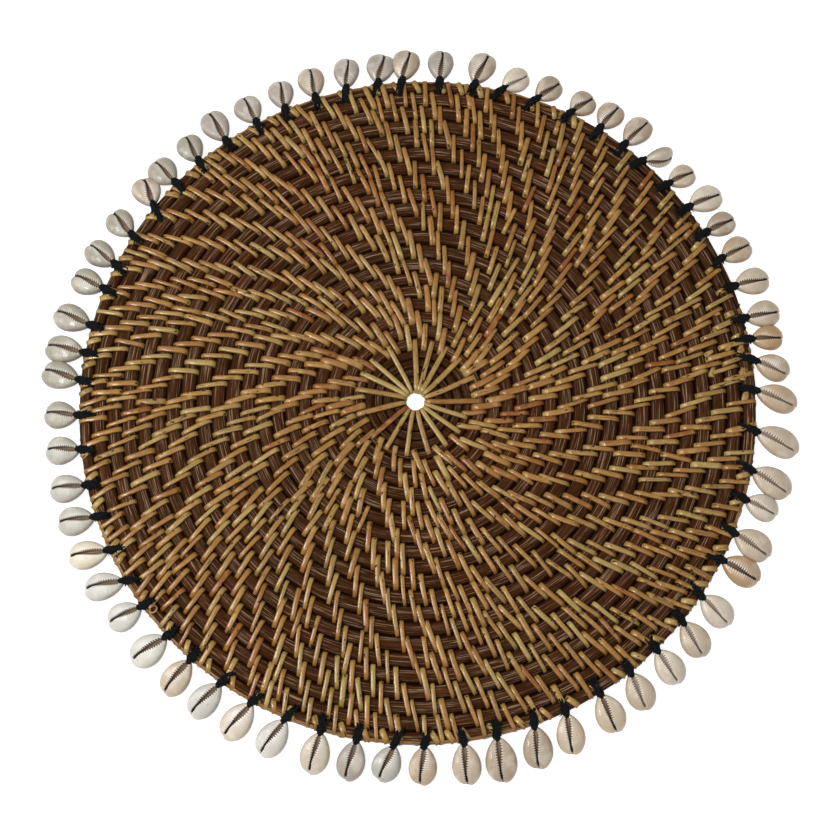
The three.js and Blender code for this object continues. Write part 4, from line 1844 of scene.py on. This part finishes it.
    def piece(self, name: str, rows: tuple[ShellRow, ...]) -> bpy.types.Object:
        """Makes one piece of one or two shells.

        Args:
            name: The piece's name.
            rows: Its shells.

        Returns:
            The piece.
        """
        places: list[Vector] = []
        faces: list[tuple[int, ...]] = []
        marks: list[list[float]] = []
        tints: list[float] = []
        for row in rows:
            points, own_marks, count = self.mesh_data(row)
            faces += self.faces(len(places), count)
            places += self.placed(row, points)
            marks += own_marks
            tints += self.tint(row) * len(points)
        mesh = bpy.data.meshes.new(name)
        mesh.from_pydata(places, [], faces)
        write_marks(mesh, dict(zip(SHELL_MARKS, map(list, zip(*marks)))))
        mesh.attributes.new("tint", "FLOAT_COLOR", "POINT").data.foreach_set("color", tints)
        mesh.polygons.foreach_set("use_smooth", [True] * len(mesh.polygons))
        mesh.materials.append(self.finish)
        return add_object(name, mesh)

    def build(self) -> None:
        """Builds every shell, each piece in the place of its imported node."""
        number = 1
        while number <= len(SHELLS):
            last = number + 1 if number in PAIRED else number
            node = f"cowries_{number:02d}_{last:02d}" if last > number else f"cowrie_{number:02d}"
            name = node + ("_shells" if last > number else "_shell")
            settle(self.piece(name, SHELLS[number - 1 : last]), (node,))
            number = last + 1


@dataclass
class ThreadTies(StrandWork):
    """Black thread that ties each cowrie over the rim."""

    cowries: Cowries
    section: StrandSection = StrandSection(0.75, 0.75, 6)
    strands_each: int = 9
    spread: float = 0.47
    # How far in from the rim a tie starts, and by how much its threads differ.
    inside: Pair = (7.0, 8.8)
    start_spread: Pair = (-2.4, 3.0)
    slant: float = 0.12
    jitter: float = 0.45
    wander: float = 0.1
    lump: float = 0.7
    flare: float = 1.5
    # Ties that reach further in than the rest, and ties with many loose ends, by the shell's number.
    far_in: tuple[int, ...] = (2, 3, 4, 10)
    far_step: float = 2.4
    frayed: tuple[int, ...] = (8, 38, 46)
    frayed_ends: int = 14
    loose_ends: int = 8
    # The knot's loops: half their widths, how far apart they lie, their height and half height.
    loop_widths: Row = (1.5, 2.0, 2.3, 2.2, 1.9, 1.6, 1.3)
    loop_start: float = -1.7
    loop_step: float = 0.5
    loop_height: float = 6.3
    loop_half: float = 1.7
    loop_steps: int = 10
    loop_girth: float = 0.95
    # Between which shares of its width a loop varies, and how far it tips.
    loop_spread: Pair = (0.75, 1.12)
    loop_tip: float = 1.1
    # The loose ends: their girths, how far out they start, their length aside and their drift.
    loose_girths: Row = (0.75, 0.65, 0.5, 0.3)
    loose_out: Pair = (-8.0, 0.8)
    loose_reach: Pair = (0.8, 2.4)
    loose_drift: Pair = (-2.2, 1.0)
    # How much of a shell's lean its tie follows beyond the rim's edge, and inside it.
    lean_shares: Pair = (0.95, 0.8)
    seed: int = 31

    def spot(self, row: ShellRow, out: float, aside: float, height: float) -> Vector:
        """Puts a point of a tie in the frame.

        Args:
            row: The shell that it ties.
            out: Millimetres out from the rim's edge, less than 0 inside it.
            aside: Millimetres to the left of the line from the tie to the shell.
            height: Millimetres above the table.

        Returns:
            The point in metres. The line follows the shell's own lean.
        """
        swept = self.spiral.swept_toward(row.angle)
        rim = self.spiral.rim_radius(swept)
        beyond, within = self.lean_shares
        lean = math.tan(math.radians(row.lean)) * (beyond if out > 0 else within)
        across = aside - lean * out
        return self.spiral.place(rim + out, swept - math.degrees(across / rim), height)

    def tie(self, row: ShellRow, chance: random.Random) -> list[Strand]:
        """Lays the threads of one tie from inside the rim, over its edge, to the shell's mouth.

        Args:
            row: The shell.
            chance: The source of its unevenness.

        Returns:
            The strands.
        """
        foot = self.cowries.tip_gap_for(row)
        crown = self.cowries.crown
        inside = chance.uniform(*self.inside) + (self.far_step if row.number in self.far_in else 0.0)
        slant = chance.uniform(-self.slant, self.slant)
        made = []
        for strand in range(self.strands_each):
            lane = (strand - (self.strands_each - 1) / 2) * self.spread
            jitter = chance.uniform(-self.jitter, self.jitter)
            cross = chance.choice((1.0, 1.0, -0.7))
            start = -inside + chance.uniform(*self.start_spread)
            lump = chance.uniform(0.0, self.lump)
            flare = chance.uniform(-self.flare, self.flare) if strand % 3 == 0 else 0.0
            # Rows are how far out from the rim's edge, how far aside, and height above the table.
            rows = (
                (start - 0.3, lane * 0.5 * cross + flare, 3.6),
                (start + 0.4, lane * 0.7 * cross + flare * 0.9, 5.9),
                (start * 0.66, lane * 0.85 * cross + jitter + flare * 0.4, 7.6 + lump),
                (-3.1, lane * 0.8 - jitter, 7.7 + lump),
                (-1.4, lane * 0.95 + jitter, 7.5 + lump),
                (0.0, lane, 7.3 + lump * 0.5),
                (foot + 0.3, lane * 0.75, crown(row, 0.3) + 0.3),
                (foot + 1.1, lane * 0.6, crown(row, 1.1) + 0.3),
                (foot + 1.9 + jitter, lane * 0.45, crown(row, 1.9) - 0.9),
            )
            points = []
            for out, aside, height in rows:
                wander = chance.uniform(-self.wander, self.wander)
                points.append(self.spot(row, out, aside + wander - slant * out, height + wander))
            made.append(Strand(points, tone=chance.random()))
        made += self.knot(row, foot, slant, chance)
        made += self.whiskers(row, chance)
        return made

    def knot(self, row: ShellRow, foot: float, slant: float, chance: random.Random) -> list[Strand]:
        """Winds the loops that hold the threads together between the rim and the shell.

        Args:
            row: The shell.
            foot: Millimetres from the rim to its narrow end.
            slant: How far the tie runs aside for each millimetre out.
            chance: The source of its unevenness.

        Returns:
            The strands of the loops.
        """
        made = []
        for loop, width in enumerate(self.loop_widths):
            out = self.loop_start + loop * self.loop_step + foot * 0.3
            wide = width * chance.uniform(*self.loop_spread)
            tip = chance.uniform(-self.loop_tip, self.loop_tip)
            points = []
            for step in range(self.loop_steps + 1):
                turned = 2 * math.pi * step / self.loop_steps + 0.4
                aside = wide * math.cos(turned) - slant * out
                along = out + tip * math.cos(turned) + 0.1 * step / self.loop_steps
                height = self.loop_height + self.loop_half * math.sin(turned)
                points.append(self.spot(row, along, aside, height))
            made.append(Strand(points, self.loop_girth, chance.random()))
        return made

    def whiskers(self, row: ShellRow, chance: random.Random) -> list[Strand]:
        """Adds the loose ends of a tie.

        Args:
            row: The shell.
            chance: The source of their directions.

        Returns:
            The strands of the loose ends.
        """
        made = []
        for _ in range(self.frayed_ends if row.number in self.frayed else self.loose_ends):
            out = chance.uniform(*self.loose_out)
            way = chance.choice((-1, 1))
            reach = chance.uniform(*self.loose_reach)
            drift = chance.uniform(*self.loose_drift)
            height = 7.5 if out < -1.0 else 6.6
            points = []
            for step in range(len(self.loose_girths)):
                share = step / 3
                aside = way * (1.3 + reach * share)
                points.append(self.spot(row, out + drift * share, aside, height - 0.8 * share * share))
            made.append(Strand(points, list(self.loose_girths), chance.random()))
        return made

    def build(self) -> None:
        """Builds the ties as one piece."""
        chance = random.Random(self.seed)
        strands = [strand for row in SHELLS for strand in self.tie(row, chance)]
        self.make("thread_ties", strands, self.section)


@dataclass
class Studio:
    """The table top, the soft lights and the camera."""

    spiral: Spiral
    table: TableFinish = field(default_factory=TableFinish)
    table_size: float = 6.0
    # The lens and the sensor's width in millimetres, the tilt in degrees, the eye about the start hole.
    lens: float = 89.5
    sensor: float = 36.0
    tilt: float = 13.5
    eye: Triple = (2.28, -256.3, 1031.6)
    room_light: float = 0.4

    def build_table(self) -> None:
        """Lays the table top under the mat."""
        half = self.table_size / 2
        mesh = bpy.data.meshes.new("table_top")
        corners = [(-half, -half, 0.0), (half, -half, 0.0), (half, half, 0.0), (-half, half, 0.0)]
        mesh.from_pydata(corners, [], [(0, 1, 2, 3)])
        mesh.materials.append(self.table.material())
        top = add_object("table_top", mesh)

    def add_light(self, name: str, place: Triple, size: Pair, power: float) -> None:
        """Hangs one oval soft light that looks at the mat.

        Args:
            name: The light's name.
            place: Where it hangs, in metres.
            size: How long it is from front to back and how wide from left to right, in metres.
            power: Its power, in watts.
        """
        data = bpy.data.lights.new(name, "AREA")
        data.shape = "ELLIPSE"
        data.size, data.size_y = size
        data.energy = power
        light = add_object(name, data)
        light.location = place
        light.rotation_euler = (-Vector(place)).to_track_quat("-Z", "Y").to_euler()

    def build_lights(self) -> None:
        """Hangs a wide light far left, a long bright one near left, and soft white all round."""
        self.add_light("key_light", (-1.25, 0.12, 1.08), (0.95, 0.95), 12.5)
        self.add_light("gloss_light", (-0.5, -0.06, 1.1), (0.66, 0.15), 9.0)
        self.add_light("fill_light", (0.8, -0.7, 1.7), (1.6, 1.6), 6.5)
        world = bpy.data.worlds.new("soft_room")
        world.use_nodes = True
        back = next(n for n in world.node_tree.nodes if n.type == "BACKGROUND")
        back.inputs["Color"].default_value = (1.0, 1.0, 1.0, 1.0)
        back.inputs["Strength"].default_value = self.room_light
        bpy.context.scene.world = world

    def build_camera(self) -> None:
        """Stands the camera where the photograph was taken from."""
        data = bpy.data.cameras.new("camera")
        data.lens = self.lens
        data.sensor_width = self.sensor
        data.dof.use_dof = False
        data.clip_start = 0.05
        data.clip_end = 20.0
        camera = add_object("camera", data)
        camera.location = self.spiral.about_hole(*self.eye)
        camera.rotation_euler = (math.radians(self.tilt), 0.0, 0.0)
        bpy.context.scene.camera = camera

    def build(self) -> None:
        """Sets up the table, the lights, the camera and a plain view of the colours."""
        self.build_table()
        self.build_lights()
        self.build_camera()
        bpy.context.scene.view_settings.view_transform = "Standard"


def main() -> None:
    """Builds the studio and every piece, in order, and reports each one."""
    logging.basicConfig(level=logging.INFO, format="%(name)s %(message)s")
    spiral = Spiral.in_frame("mat")
    Studio(spiral).build()
    effects = Effects()
    sweep = StrandSweep()
    dark = DarkRodFinish().material(effects)
    pale = PaleSkinFinish().material(effects)
    shell = CowrieFinish().material(effects)
    thread = ThreadFinish().material(effects)
    coil = RodCoil(spiral, sweep, dark)
    coil.build()
    bindings = Bindings(spiral, sweep, pale, coil)
    bindings.build()
    StartRosette(spiral, sweep, pale).build()
    RimTrim(spiral, sweep, pale, coil).build(bindings.places(bindings.top_seed))
    cowries = Cowries(spiral, shell)
    cowries.build()
    ThreadTies(spiral, sweep, thread, cowries).build()


if __name__ == "__main__":
    main()
